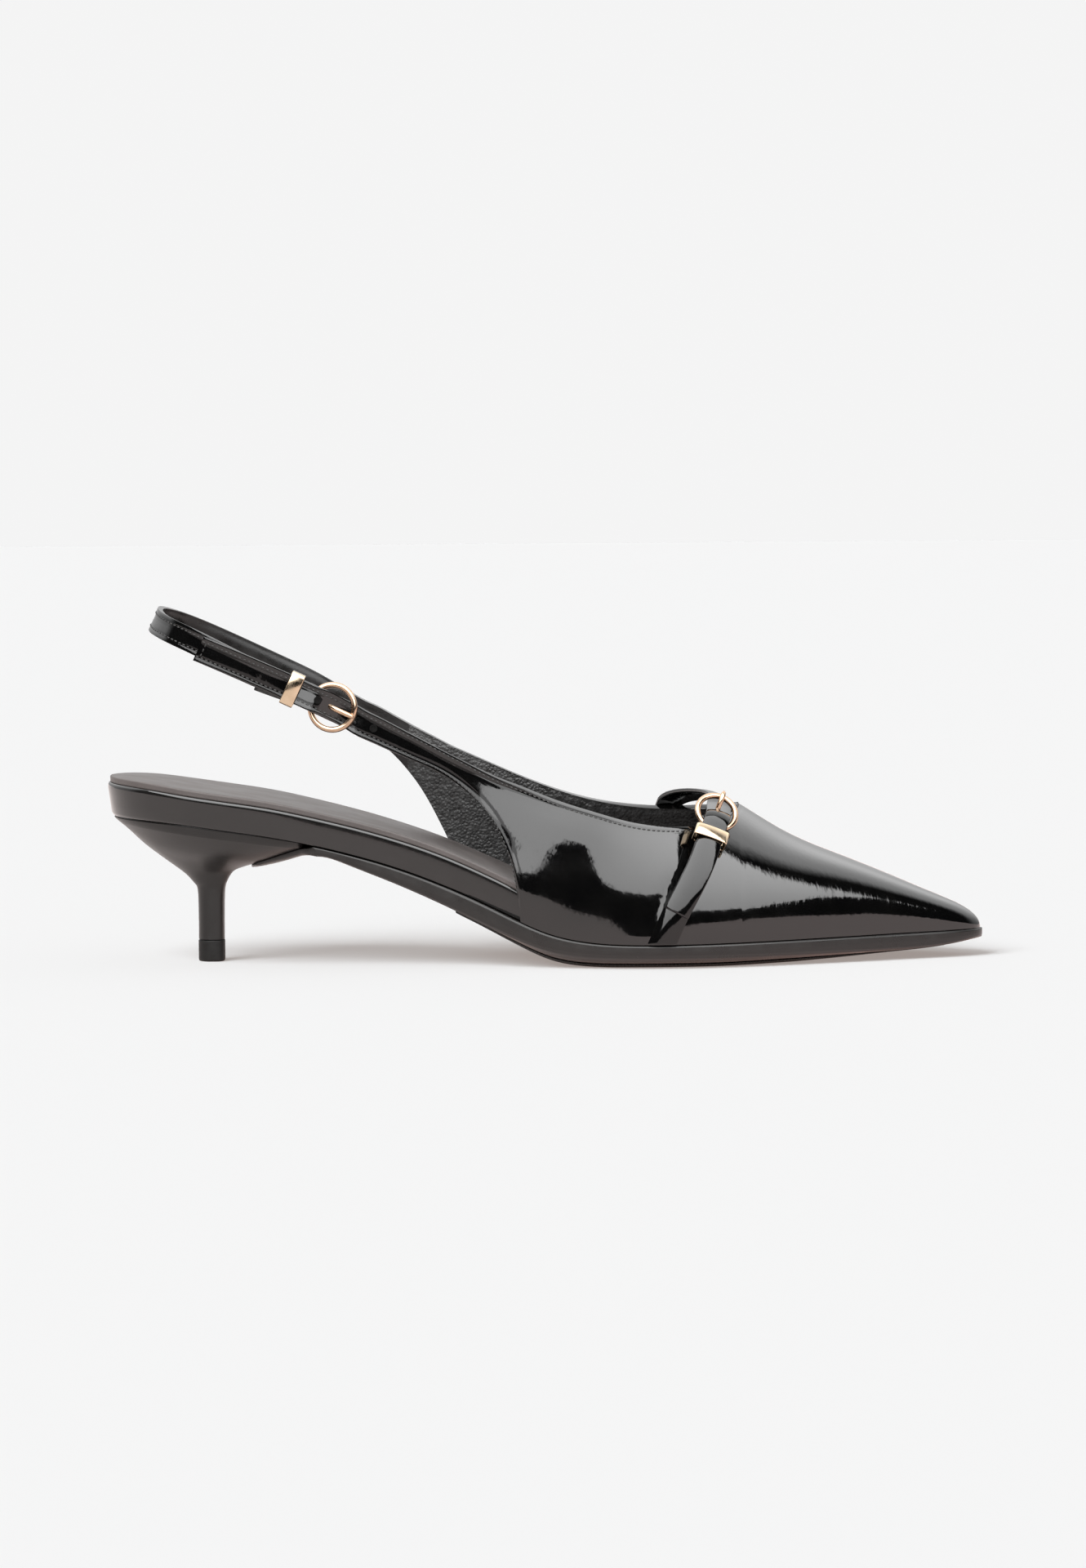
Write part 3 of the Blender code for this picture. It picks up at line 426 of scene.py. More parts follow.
FREE_LIFT = (
    (-60.0, 2 * LIFT_ON_UPPER),
    (-STRAP_LANDS, 2 * LIFT_ON_UPPER),
    (-KEEPER_FROM_RING - 2.0, LIFT_IN_KEEPER + LIFT_ON_UPPER),
    (-KEEPER_FROM_RING + 1.9, LIFT_IN_KEEPER + LIFT_ON_UPPER),
    (-7.2, LIFT_OF_BAR + WIRE + LIFT_ON_UPPER),
    (-4.4, LIFT_OF_BAR + WIRE + LIFT_ON_UPPER),
    (0.0, 3.2),
    (4.2, LIFT_ON_UPPER),
    (12.0, LIFT_ON_UPPER),
)
ANCHOR_LIFT = (
    (-60.0, LIFT_ON_UPPER),
    (-STRAP_LANDS, LIFT_ON_UPPER),
    (-KEEPER_FROM_RING - 2.0, LIFT_IN_KEEPER),
    (0.0, LIFT_IN_KEEPER),
)
# Courses of the prongs in the frames of their rings: along, out
INSTEP_PRONG = [
    (-1.2, -2.6),
    (-0.2, -2.1),
    (1.2, -0.9),
    (2.8, 0.5),
    (4.0, 1.3),
    (5.0, 1.65),
    (6.7, 1.7),
]
SLING_PRONG = [
    (-RING_RADIUS + WIRE + GAP, 0.0),
    (-2.2, 0.0),
    (-0.9, 0.5),
    (0.2, 1.3),
    (1.2, WIRE + GAP + PRONG),
    (3.6, WIRE + GAP + PRONG),
    (RING_RADIUS + 0.7, WIRE + GAP + PRONG),
]

# Swells and hollows in the lateral side: station, height, reach along, reach up, depth
SWELLS = [
    (141.0, 46.0, 11.0, 13.0, 2.2),
    (157.0, 14.0, 8.0, 9.0, -0.5),
    (121.0, 22.0, 8.0, 9.0, 0.7),
    (102.0, 67.0, 14.0, 10.0, 1.0),
    (83.0, 78.0, 11.0, 11.0, 1.1),
]
STRAP_CREASE = (0.8, 3.6, 1.6)      # place from the instep strap's rear edge, reach, depth
CREASE_FADE = (14.0, 10.0, 44.0, 8.0)      # lower end and its fade, upper end and its fade
SWELL_FADE = 8.0                    # from the lower edge and from the throat
STRAP_FREE = (38.0, 10.0)           # height where the lower edge no longer fades the swells
BACKING_START = 88.0
ROLLED_EDGE = (0.5, 2.6, 0.28)      # start and end of the slope below the topline, and its rise

# Stitches: distance from the edge, pitch, length and thickness
STITCH_INSET = 1.5
STITCH_PITCH = 1.45
STITCH_LENGTH = 1.15
STITCH_THICK = 0.46
STITCH_FLAT = 0.72
STITCH_PROUD = 0.06
STITCH_ENDS = 6                     # rows left free of stitches at the ends of a seam
CHANNEL = (0.55, 0.5)               # half width and depth of the pressed channel along the stitches

# Punched holes are dark cups laid on the leather; their dark colour is painted shade in place of an
# opening.
HOLE_RADIUS = 0.85
HOLE_PROUD = 0.05
HOLE_RIM = ((1.35, 0.0), (1.15, 0.07), (1.0, 0.05), (0.86, -0.02), (0.0, -0.03))
SLING_HOLES = (79.1, 63.0)
INSTEP_HOLE = (66, 10)              # row and column of the instep strap
PRONG_FLAT = 0.7
PRONG_TAPER = ((0, 1, 33, 37, 39), (0.7, 1.0, 1.0, 0.8, 0.45))

# Studio, in metres and degrees
FLOOR_SIZE = 4.0
# The paper's cool tone and warm glow add up to white where it is lit; in its shadows the warm glow stays, a
# painted shadow tint.
PAPER = (0.58, 0.62, 0.64)
PAPER_LIGHT = 0.9                   # tone and glow of the paper together; the glow is painted light that stays in shadow
PAPER_AT_HEEL = (0.1, 0.0, -0.03)   # painted reflection: more glow that only the gloss sees, near the heel and near the toe
PAPER_AT_TOE = (0.3, 0.13, 0.1)
SKY_LIGHT = 0.3
SKY_SEEN = 0.607                    # what the camera sees more of it
SKY_LEAST = 0.02
SCRIM_SOFT = 0.06
WINDOW_LIGHT = 3.35
WINDOW_SPREAD = 42
WINDOW_WAY = Vector((0.75, 0.75, -1.0))
CAMERA_LENS = 140.625
CAMERA_SENSOR = 36.0
CAMERA_TARGET = Vector((-0.0007, 0.0, 0.0514))
CAMERA_REACH = 1.8
CAMERA_RISE = 4.0
CAMERA_ROLL = -0.4


class Value:
    """A value in a shader. Sums and products of values add the nodes that work them out."""

    def __init__(self, finish, socket):
        self.finish = finish
        self.socket = socket

    def sum_of(self, operation, first, second):
        return self.finish.node("ShaderNodeMath", {"operation": operation}, {0: first, 1: second})

    def __add__(self, other):
        return self.sum_of("ADD", self, other)

    def __radd__(self, other):
        return self.sum_of("ADD", other, self)

    def __sub__(self, other):
        return self.sum_of("SUBTRACT", self, other)

    def __rsub__(self, other):
        return self.sum_of("SUBTRACT", other, self)

    def __mul__(self, other):
        return self.sum_of("MULTIPLY", self, other)

    def __rmul__(self, other):
        return self.sum_of("MULTIPLY", other, self)

    def __truediv__(self, other):
        return self.sum_of("DIVIDE", self, other)

    def __rtruediv__(self, other):
        return self.sum_of("DIVIDE", other, self)


class Finish:
    """A finish and the nodes that give its colour, gloss and grain."""

    def __init__(self, owner, shader="Principled BSDF", **sockets):
        owner.use_nodes = True
        self.owner = owner
        self.tree = owner.node_tree
        self.shader = self.tree.nodes[shader]
        for name, value in sockets.items():
            self.shader.inputs[name.replace("_", " ")].default_value = value

    def node(self, kind, settings=None, inputs=None, output=0):
        made = self.tree.nodes.new(kind)
        for name, value in (settings or {}).items():
            if name == "stops":
                self.set_stops(made.color_ramp, value)
            else:
                setattr(made, name, value)
        for name, value in (inputs or {}).items():
            if isinstance(value, Value):
                self.tree.links.new(value.socket, made.inputs[name])
            else:
                made.inputs[name].default_value = value
        return Value(self, made.outputs[output])

    def set_stops(self, ramp, stops):
        while len(ramp.elements) < len(stops):
            ramp.elements.new(0.5)
        for element, (place, colour) in zip(ramp.elements, stops):
            element.position = place
            element.color = (*colour, 1.0)

    def feed(self, socket, value):
        self.tree.links.new(value.socket, self.shader.inputs[socket])

    def place(self, stretch=(1.0, 1.0, 1.0)):
        """Object coordinates in millimetres, stretched along the axes."""
        here = self.node("ShaderNodeTexCoord", output="Object")
        scale = tuple(1000.0 * s for s in stretch)
        return self.node("ShaderNodeMapping", {}, {"Vector": here, "Scale": scale})

    def noise(self, size, detail=2.0, roughness=0.5, stretch=(1.0, 1.0, 1.0)):
        """Soft noise whose blotches are about size millimetres across."""
        inputs = {"Vector": self.place(stretch), "Scale": 1.0 / size}
        inputs.update({"Detail": detail, "Roughness": roughness})
        return self.node("ShaderNodeTexNoise", {}, inputs)

    def cells(self, size):
        return self.node("ShaderNodeTexVoronoi", {}, {"Vector": self.place(), "Scale": 1.0 / size})

    def ramp(self, value, stops):
        return self.node("ShaderNodeValToRGB", {"stops": stops}, {"Fac": value})

    def between(self, value, low, high, out_low=0.0, out_high=1.0):
        inputs = {"Value": value, "From Min": low, "From Max": high, "To Min": out_low, "To Max": out_high}
        return self.node("ShaderNodeMapRange", {"interpolation_type": "SMOOTHSTEP"}, inputs)

    def bump(self, height, depth):
        """Relief of a height from 0 to 1, depth millimetres deep."""
        bumped = self.node("ShaderNodeBump", {}, {"Height": height, "Distance": depth * 0.001})
        self.feed("Normal", bumped)

    def tone(self, pattern, dark, light, span=(0.3, 0.7)):
        self.feed("Base Color", self.ramp(pattern, [(span[0], dark), (span[1], light)]))

    def gloss(self, pattern, smooth, rough):
        self.feed("Roughness", self.between(pattern, 0.3, 0.7, smooth, rough))


def new_finish(name, **sockets):
    return Finish(bpy.data.materials.new(name), **sockets)


def hazy_finish(name, haze, tones, gloss, grain, depth, **sockets):
    """Finish whose tone and gloss drift with a haze. Its relief is a fine grain or the haze itself."""
    finish = new_finish(name, **sockets)
    drift = finish.noise(*haze)
    finish.tone(drift, *tones)
    finish.gloss(drift, *gloss)
    finish.bump(finish.noise(*grain) if grain else drift, depth)
    return finish.owner


def patent_leather(name, stitched, mirror=0.5, coat=0.6):
    """Lacquered black leather with a fine peel in the gloss, and a pressed channel along stitched edges."""
    finish = new_finish(name, Specular_IOR_Level=mirror, Coat_Weight=coat, Coat_Roughness=0.03)
    cloud = finish.noise(9.0, 3.0)
    finish.tone(cloud, (0.0014, 0.0014, 0.0016), (0.003, 0.0029, 0.0028))
    finish.gloss(cloud, 0.045, 0.085)
    peel = finish.noise(1.5, 2.0, 0.5, (1.0, 1.0, 0.3))
    wave = finish.noise(16.0, 1.0)
    height = peel * 0.3 + wave * 0.7
    if stitched:
        edge = finish.node("ShaderNodeAttribute", {"attribute_name": "edge"}, output="Fac")
        off = (edge - STITCH_INSET) / CHANNEL[0]
        channel = 1.0 / (off * off * off * off + 1.0)
        height = height - channel * CHANNEL[1]
    finish.bump(height, 0.16)
    return finish.owner


def lining_leather():
    """Black pebbled lining inside the wings and the toe."""
    finish = new_finish("black_pebbled_lining")
    pebble = finish.cells(0.85)
    wrinkle = finish.noise(2.6, 4.0, 0.62)
    finish.tone(wrinkle, (0.02, 0.02, 0.02), (0.07, 0.07, 0.07), (0.25, 0.8))
    finish.gloss(wrinkle, 0.26, 0.4)
    finish.bump(wrinkle * 1.1 - pebble * 0.7, 0.32)
    return finish.owner


def strap_backing():
    """Smooth satin leather on the inner side of the sling strap."""
    tones = (0.003, 0.003, 0.003), (0.008, 0.0075, 0.0075)
    return hazy_finish("black_strap_backing", (5.0, 3.0), tones, (0.22, 0.34), (0.8, 3.0, 0.55), 0.03)


def moulded_sole():
    """Smooth moulded sole with a faint haze."""
    tones = (0.011, 0.010, 0.0095), (0.017, 0.0155, 0.0145), (0.3, 0.75)
    return hazy_finish("moulded_black_sole", (6.0, 4.0, 0.6), tones, (0.26, 0.36), (0.7, 2.0), 0.012)


def tread_rubber():
    """Tread pad with fine cross ribs."""
    finish = new_finish("tread_rubber")
    speck = finish.noise(1.2, 3.0)
    finish.tone(speck, (0.010, 0.0095, 0.009), (0.022, 0.02, 0.019))
    finish.gloss(speck, 0.42, 0.6)
    here = finish.node("ShaderNodeSeparateXYZ", {}, {"Vector": finish.place()})
    rib = finish.node("ShaderNodeMath", {"operation": "PINGPONG"}, {0: here, 1: 1.1})
    finish.bump(finish.between(rib, 0.25, 0.8), 0.3)
    return finish.owner


def covered_band():
    """Gloss cover on the board's edge."""
    tones = (0.0075, 0.007, 0.0068), (0.0115, 0.0105, 0.010)
    peel = (1.3, 2.0, 0.5, (1.0, 1.0, 0.6))
    return hazy_finish(
        "gloss_band", (7.0, 3.0), tones, (0.08, 0.15), peel, 0.012, Coat_Weight=0.5, Coat_Roughness=0.04)


def heel_lacquer():
    """Lacquered heel, a little softer in gloss than the band."""
    tones = (0.010, 0.0092, 0.0088), (0.0145, 0.013, 0.0122)
    return hazy_finish("heel_lacquer", (8.0, 4.0), tones, (0.3, 0.38), (0.9, 2.0), 0.006)


def lift_rubber():
    """Hard rubber of the top lift, with fine scuffs."""
    scuff = (0.9, 4.0, 0.6, (0.4, 0.4, 1.0))
    tones = (0.005, 0.0048, 0.0046), (0.011, 0.0105, 0.010), (0.3, 0.75)
    return hazy_finish("top_lift_rubber", scuff, tones, (0.45, 0.6), None, 0.02, Specular_IOR_Level=0.3)


def sock_leather():
    """Warm grey satin sock with a fine grain."""
    finish = new_finish("warm_grey_sock")
    cloud = finish.noise(11.0, 3.0)
    grain = finish.noise(0.7, 3.0, 0.6)
    finish.tone(cloud * 0.7 + grain * 0.3, (0.080, 0.067, 0.063), (0.108, 0.092, 0.087))
    finish.gloss(cloud, 0.42, 0.54)
    finish.bump(grain, 0.05)
    return finish.owner


def polished_gold(name, dull, bright):
    """Polished plating with faint wear, from a dull to a bright tone."""
    tones = dull, bright, (0.25, 0.75)
    return hazy_finish(name, (2.2, 3.0, 0.6), tones, (0.09, 0.16), (1.2, 2.0), 0.003, Metallic=1.0)


def thread():
    """Black twisted thread."""
    tones = (0.012, 0.012, 0.012), (0.034, 0.033, 0.032)
    return hazy_finish("black_thread", (0.35, 2.0), tones, (0.35, 0.5), None, 0.05)


def painted_hole_shade():
    """Painted shade of a punched hole: a near-black matte colour standing in for the dark opening."""
    finish = new_finish("punched_hole_shade", Roughness=0.8, Specular_IOR_Level=0.1)
    finish.tone(finish.noise(0.2, 2.0), (0.002, 0.002, 0.002), (0.007, 0.0065, 0.006))
    return finish.owner


def metres(points):
    """Points given as station, side and height, in metres about the middle of the shoe."""
    return (np.asarray(points, float) - (LENGTH / 2, 0, 0)) * 0.001


def unit(vector):
    vector = np.asarray(vector, float)
    return vector / np.linalg.norm(vector, axis=-1, keepdims=True)


def smooth_step(share):
    share = np.clip(share, 0, 1)
    return share * share * (3 - 2 * share)


def run_lengths(points):
    """Distances along a line of points, from its first one."""
    return np.concatenate([[0], np.cumsum(np.linalg.norm(np.diff(points, axis=0), axis=1))])


def lay_sheet(build, points):
    """Adds a grid to the mesh and lays it on rows of points."""
    points = np.asarray(points, float)
    rows, columns = points.shape[:2]
    made = bmesh.ops.create_grid(build, x_segments=columns - 1, y_segments=rows - 1, size=1.0)
    for vert, place in zip(made["verts"], metres(points).reshape(-1, 3)):
        vert.co = place
    return made["verts"]


def add_object(name, data):
    made = bpy.data.objects.new(name, data)
    bpy.context.scene.collection.objects.link(made)
    return made


def add_piece(name, build, finishes, nodes=(), turned=True):
    """Turns a mesh into a piece of the shoe that stands for the named solids."""
    bmesh.ops.remove_doubles(build, verts=build.verts, dist=2e-6)
    bmesh.ops.dissolve_degenerate(build, edges=build.edges, dist=1e-7)
    if turned:
        bmesh.ops.recalc_face_normals(build, faces=build.faces)
    mesh = bpy.data.meshes.new(name)
    build.to_mesh(mesh)
    build.free()
    mesh.shade_smooth()
    for finish in finishes:
        mesh.materials.append(finish)
    piece = add_object(name, mesh)
    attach(piece, "root")
    if nodes:
        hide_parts(*nodes)
    return piece


def add_sheet(name, rows, finishes, nodes=(), turned=True):
    """Adds a piece whose mesh is one sheet."""
    build = bmesh.new()
    lay_sheet(build, rows)
    return add_piece(name, build, finishes, nodes, turned)


def add_wall(piece, thickness, round_edge, inner=0):
    """Gives a sheet its thickness on the inner side and rounds the cut edges."""
    wall = piece.modifiers.new("wall", "SOLIDIFY")
    wall.thickness = thickness * 0.001
    wall.offset = -1.0
    wall.use_even_offset = True
    wall.material_offset = inner
    soft = piece.modifiers.new("edge", "BEVEL")
    soft.width = round_edge * 0.001
    soft.segments = 3
    soft.limit_method = "ANGLE"
    soft.angle_limit = math.radians(70)


def keep_sharp(piece, angle):
    piece.data.set_sharp_from_angle(angle=math.radians(angle))
    return piece


def outline(angle, side, out):
    """Plan of the board at angles from heel to toe, moved outwards along its normal."""
    angle = np.asarray(angle, float)
    out = np.broadcast_to(out, angle.shape)

    def place(at):
        station = BOARD_LENGTH * (1 - np.cos(at)) / 2
        half = BOARD.at_measure("half_width", at)
        return np.stack([station, BOARD.at_measure("swing", at) + side * half], axis=-1)

    step = 1e-4
    along = place(angle + step) - place(angle - step)
    normal = unit(np.stack([-along[..., 1], along[..., 0]], axis=-1)) * side
    return place(angle) + normal * out[..., None]


def inset(loop, distance):
    """A plan loop moved inwards, by one distance or by one for each point."""
    along = np.roll(loop, -1, axis=0) - np.roll(loop, 1, axis=0)
    normal = unit(np.stack([along[:, 1], -along[:, 0]], axis=1))
    return loop - normal * np.broadcast_to(distance, len(loop))[:, None]


def with_height(loop, height):
    return np.column_stack([loop, np.broadcast_to(height, len(loop))])


def feather(station):
    return RISE.at("feather", station)


def board_top(station):
    return feather(station) + RISE.at("board", station)


def plan_loop(angles, out):
    """Loop along the lateral side to the toe and back along the medial side."""
    return np.concatenate([outline(angles, -1, out), outline(angles[::-1], 1, out)])


def across_body(rings, crossing, meets=False):
    """Sections across a body whose rings run up its edge: up one side, over the middle, down the other.

    Where the body comes to a point at both ends, its two sides meet there on a middle line.
    """
    rings = np.asarray(rings)
    half = rings.shape[1] // 2
    lateral = rings[:, :half].transpose(1, 0, 2)
    medial = rings[:, half:][:, ::-1].transpose(1, 0, 2)
    if meets:
        middle = (lateral[[0, -1]] + medial[[0, -1]]) / 2
        lateral, medial = [np.concatenate([middle[:1], side, middle[1:]]) for side in (lateral, medial)]
    share = np.linspace(0, 1, crossing + 2)[1:-1][None, :, None]
    over = lateral[:, -1:] * (1 - share) + medial[:, -1:] * share
    under = medial[:, :1] * (1 - share) + lateral[:, :1] * share
    return np.concatenate([lateral, over, medial[:, ::-1], under, lateral[:, :1]], axis=1)


def make_insole(finish):
    angles = np.linspace(PLAN_START, float(board_angle(SOCK_END)), 150)
    loop = plan_loop(angles, -SOCK_INSET)
    rings = []
    for ring in np.linspace(0, 3, 10):
        distance = max(float(SOCK_EDGE.at("inset", ring)), 0.0)
        plan = inset(loop, np.minimum(distance, half_widths(loop) * SOCK_MOST))
        rise = board_top(loop[:, 0]) + GAP + float(SOCK_EDGE.at("rise", ring)) * SOCK
        rings.append(with_height(plan, rise))
    return add_sheet("insole_sock", closed_tube(across_body(rings, 14)), [finish], ["insole"])


def make_board(finish):
    angles = np.linspace(PLAN_START, math.pi - PLAN_START, 190)
    loop = plan_loop(angles, 0.0)
    loop = inset(loop, np.interp(loop[:, 0], *BOARD_TUCK))
    lean = BOARD_LEAN * np.clip(1 - loop[:, 0] / BOARD_LEAN_END, 0, 1)
    rings = []
    for ring in np.linspace(0, 6, 19):
        inward, leaning, rise = BOARD_EDGE.straight_row(ring)
        plan = inset(loop, lean * leaning + inward)
        rings.append(with_height(plan, feather(loop[:, 0]) + rise * RISE.at("board", loop[:, 0])))
    return add_sheet("footbed_band", across_body(rings, 8, meets=True), [finish], ["footbed_board"])


def sole_lip(station):
    """How far the sole stands out beyond the board."""
    return (WALL + GAP + TOE_LIP) * smooth_step((station - LIP_START) / (LIP_FULL - LIP_START))


def breast(plan):
    """Height of the heel's front face over plan points."""
    rows = np.linspace(*BREAST_ROWS, 60)
    back, back_height, front, front_height, half, power = HEEL.row_at(rows)
    share = np.clip(np.abs(plan[:, 1:]) / half, 0, 0.999)
    reach = (1 - share ** power) ** (1 / power)
    face = (back + front) / 2 + reach * (front - back) / 2
    height = back_height + (face - back) / (front - back) * (front_height - back_height)
    return np.array([np.interp(at, f, h) for at, f, h in zip(plan[:, 0], face, height)])


def sole_heights(plan):
    """Middle, edge and top of the sole at plan points. The tongue follows the heel's front face."""
    station = plan[:, 0]
    low, edge = keel(station), SOLE.at("edge", station)
    top = feather(station) - GAP
    on_heel = station < BREAST_END - BREAST_BLEND
    middle = breast(np.stack([station, np.zeros(len(plan))], axis=1))
    follow = np.where(on_heel, breast(plan) - middle, 0.0)
    top = np.where(on_heel, middle - LIP_GAP, top)
    return low + follow, edge + follow, top + follow


def sole_loop():
    """Plan of the sole: a rounded tongue on the heel breast, then the board's plan with a growing lip."""
    angles = np.linspace(float(board_angle(BREAST_END)), math.pi - PLAN_START, 170)
    station = BOARD_LENGTH * (1 - np.cos(angles)) / 2
    sides = []
    for side in (-1, 1):
        main = outline(angles, side, sole_lip(station))
        root = main[0]
        middle = float(BOARD.at("swing", root[0]))
        turn = np.radians(np.linspace(1.0, TONGUE_TURN, 26))
        tongue_station = root[0] - (root[0] - TONGUE_END) * np.cos(turn)
        rows = np.linspace(*BREAST_ROWS, 30)
        heel_half = np.interp(tongue_station, HEEL.at("front_station", rows), HEEL.at("half_width", rows))
        half = np.minimum(abs(root[1] - middle) * np.sin(turn), TONGUE_SHARE * heel_half)
        tongue = np.stack([tongue_station, middle + side * half], axis=-1)
        sides.append(np.concatenate([tongue, main]))
    return np.concatenate([sides[0], sides[1][::-1]])


def half_widths(loop):
    return np.abs(loop[:, 1] - loop[::-1, 1]) / 2


def keel(station):
    return np.maximum(SOLE.at("keel", station), PAD + GAP)


def make_outsole(finish):
    loop = sole_loop()
    half = half_widths(loop)
    rings = []
    for ring in np.linspace(6, 0, 25):
        distance, most, to_edge, to_top = SOLE_EDGE.straight_row(ring)
        plan = inset(loop, np.minimum(distance, half * most))
        low, edge, top = sole_heights(plan)
        rings.append(with_height(plan, low + to_edge * (edge - low) + to_top * (top - edge)))
    return add_sheet("moulded_outsole", closed_tube(across_body(rings, 12)), [finish], ["outsole"])


def make_tread_pad(finish):
    loop = sole_loop()
    loop = loop[(loop[:, 0] > PAD_START) & (loop[:, 0] < PAD_END)]
    keep = np.maximum(1 - PAD_INSET / half_widths(loop), PAD_LEAST)
    middle = (loop[:, 1] + loop[::-1, 1]) / 2
    plan = np.column_stack([loop[:, 0], middle + (loop[:, 1] - middle) * keep])
    rings = []
    for distance, depth in PAD_EDGE:
        thick = PAD * np.clip((PAD_END - plan[:, 0]) / PAD_FADE, PAD_TIP, 1)
        rings.append(with_height(inset(plan, distance), keel(plan[:, 0]) - GAP - depth * thick))
    sections = closed_tube(across_body(rings, 12))
    return keep_sharp(add_sheet("tread_pad_ribbed", sections, [finish], ["tread_pad"]), 40)


def heel_ring(back, back_height, front, front_height, half_width, power, seat=0.0, under=GAP):
    """One tilted section of the heel: round behind, squarer at the breast. seat blends it to the board."""
    turn = np.linspace(0, 2 * math.pi, HEEL_POINTS)
    across, along = -np.sin(turn), -np.cos(turn)
    size = (np.abs(across) ** power + np.abs(along) ** power) ** (-1 / power)
    size = np.where(along > 0, size, 1.0)
    station = (back + front) / 2 + along * size * (front - back) / 2
    share = (station - back) / (front - back)
    height = back_height + share * (front_height - back_height)
    height = height * (1 - seat) + (feather(station) - under) * seat
    swing = BOARD.at("swing", np.clip(station, 0, 250)) * seat
    return np.stack([station, swing + half_width * across * size, height], axis=-1)


def closed_tube(rings):
    """Rings with both ends drawn together into a point."""
    rings = np.asarray(rings)
    ends = [np.repeat(ring.mean(axis=0, keepdims=True), len(ring), axis=0) for ring in rings[[0, -1]]]
    return np.concatenate([ends[0][None], rings, ends[1][None]])


def make_heel(finish):
    first = HEEL.row_at(1.0)
    back, front, half_width, power = HEEL_SEAT
    rings = []
    for inward, under in SEAM:
        rings.append(heel_ring(
            back + inward, first[1], front - inward, first[3], half_width - inward, power, 1.0, under))
    behind, before, beside, seat = HEEL_SHOULDER
    rings.append(heel_ring(
        back + behind, first[1], front - before, first[3], half_width - beside, power, seat))
    for row in np.linspace(1, 9, 73):
        rings.append(heel_ring(*HEEL.row_at(row)))
    return keep_sharp(add_sheet("kitten_heel", closed_tube(rings), [finish], ["heel"]), 50)


def make_top_lift(finish):
    back, _, front, _, half_width, power = HEEL.row_at(9.0)
    rings = []
    for out, height in LIFT_EDGE:
        rings.append(heel_ring(back - out, height, front + out, height, half_width + out, power))
    return keep_sharp(add_sheet("top_lift_tip", closed_tube(rings), [finish], ["top_lift"]), 50)


def bezier(start, first, second, end, share):
    share = np.asarray(share, float)[..., None]
    rest = 1 - share
    middle = 3 * rest * rest * share * first + 3 * rest * share * share * second
    return rest ** 3 * start + middle + share ** 3 * end


FEATHER_ANGLES = np.linspace(0.6, math.pi, 400)
FEATHER_STATIONS = {side: outline(FEATHER_ANGLES, side, WALL + GAP)[:, 0] for side in (-1, 1)}


def section_handles(station, side):
    """Four handles of half sections of the upper's outer face, from the feather line to the ridge."""
    station = np.asarray(station, float)
    angle = np.interp(station, FEATHER_STATIONS[side], FEATHER_ANGLES)
    edge = outline(angle, side, WALL + GAP)[..., 1]
    height = UPPER.at("ridge_height", station)
    base = feather(station)
    swing = UPPER.at("ridge_swing", station)
    start = np.stack([station, edge, base], axis=-1)
    end = np.stack([station, swing, base + height], axis=-1)
    lean = side * UPPER.at("side_lean", station)
    first = np.stack([station, edge + lean, base + UPPER.at("side_handle", station) * height], axis=-1)
    reach = UPPER.at("ridge_handle", station) * (edge - swing)
    second = np.stack([station, swing + reach, base + height], axis=-1)
    return start, first, second, end


def outer_face(station, side, girth):
    """Points of the upper's outer face: girth 0 is the feather line, 1 the ridge."""
    return bezier(*section_handles(station, side), girth)


def girth_at(station, height, side):
    """Girth at which the outer face has a height."""
    handles = section_handles(station, side)
    low = np.zeros(np.shape(station))
    high = np.ones(np.shape(station))
    for _ in range(40):
        girth = (low + high) / 2
        under = bezier(*handles, girth)[..., 2] < height
        low, high = np.where(under, girth, low), np.where(under, high, girth)
    return girth


def column_shares(length):
    """Shares along a row: close together near both edges, even in between."""
    inner = np.linspace(EDGE_COLUMNS[-1], length - EDGE_COLUMNS[-1], ROW_COLUMNS + 2)[1:-1]
    return np.concatenate([EDGE_COLUMNS, inner, length - EDGE_COLUMNS[::-1]]) / length


def smooth_rows(rows, count):
    """Rows drawn again through the given ones, evenly along the middle column."""
    rows = np.asarray(rows, float)
    middle = rows[:, rows.shape[1] // 2]
    measure = run_lengths(middle)
    flat = rows.reshape(len(rows), -1)
    places = np.linspace(0, measure[-1], count)
    return along_curve(measure, flat, natural_bends(measure, flat), places).reshape(count, -1, 3)


def face_row(side, start, end, first, last, shares=None):
    """One row of the outer face between two stations and girths, with its columns placed by length."""
    trial = np.linspace(0, 1, 25)
    measure = run_lengths(outer_face(start + trial * (end - start), side, first + trial * (last - first)))
    shares = column_shares(measure[-1]) if shares is None else shares
    share = np.interp(shares * max(measure[-1], 1e-6), measure, trial)
    return outer_face(start + share * (end - start), side, first + share * (last - first))


def wing_rows(side, front, rear):
    """Rows of one wing from the throat to the start of its strap, and the number of the corner row."""
    throat_height = float(outer_face(THROAT, side, 1.0)[2])
    tops = [(row[1], throat_height if row[2] is None else row[2]) for row in front]
    tops += [(row[2], row[3]) for row in rear]
    top = Table("row station height", [(i, *place) for i, place in enumerate(tops)])
    feet = Table("row station", [(i, row[0]) for i, row in enumerate(front)])
    corner = len(front) - 1
    lows = [(corner, front[-1][0], float(feather(front[-1][0])))]
    lows += [(corner + 1 + i, row[0], row[1]) for i, row in enumerate(rear)]
    low = Table("row station height", lows)
    rows = []
    for step in range((len(tops) - 1) * WING_SPLIT + 1):
        at = step / WING_SPLIT
        if at <= corner:
            start = float(feet.at("station", at))
            first = 0.0
        else:
            start = float(low.at("station", at))
            first = float(girth_at(start, float(low.at("height", at)), side))
        end = float(top.at("station", at))
        last = float(girth_at(end, float(top.at("height", at)), side)) if step else 1.0
        rows.append(face_row(side, start, end, first, last))
    return np.array(rows), corner * WING_SPLIT


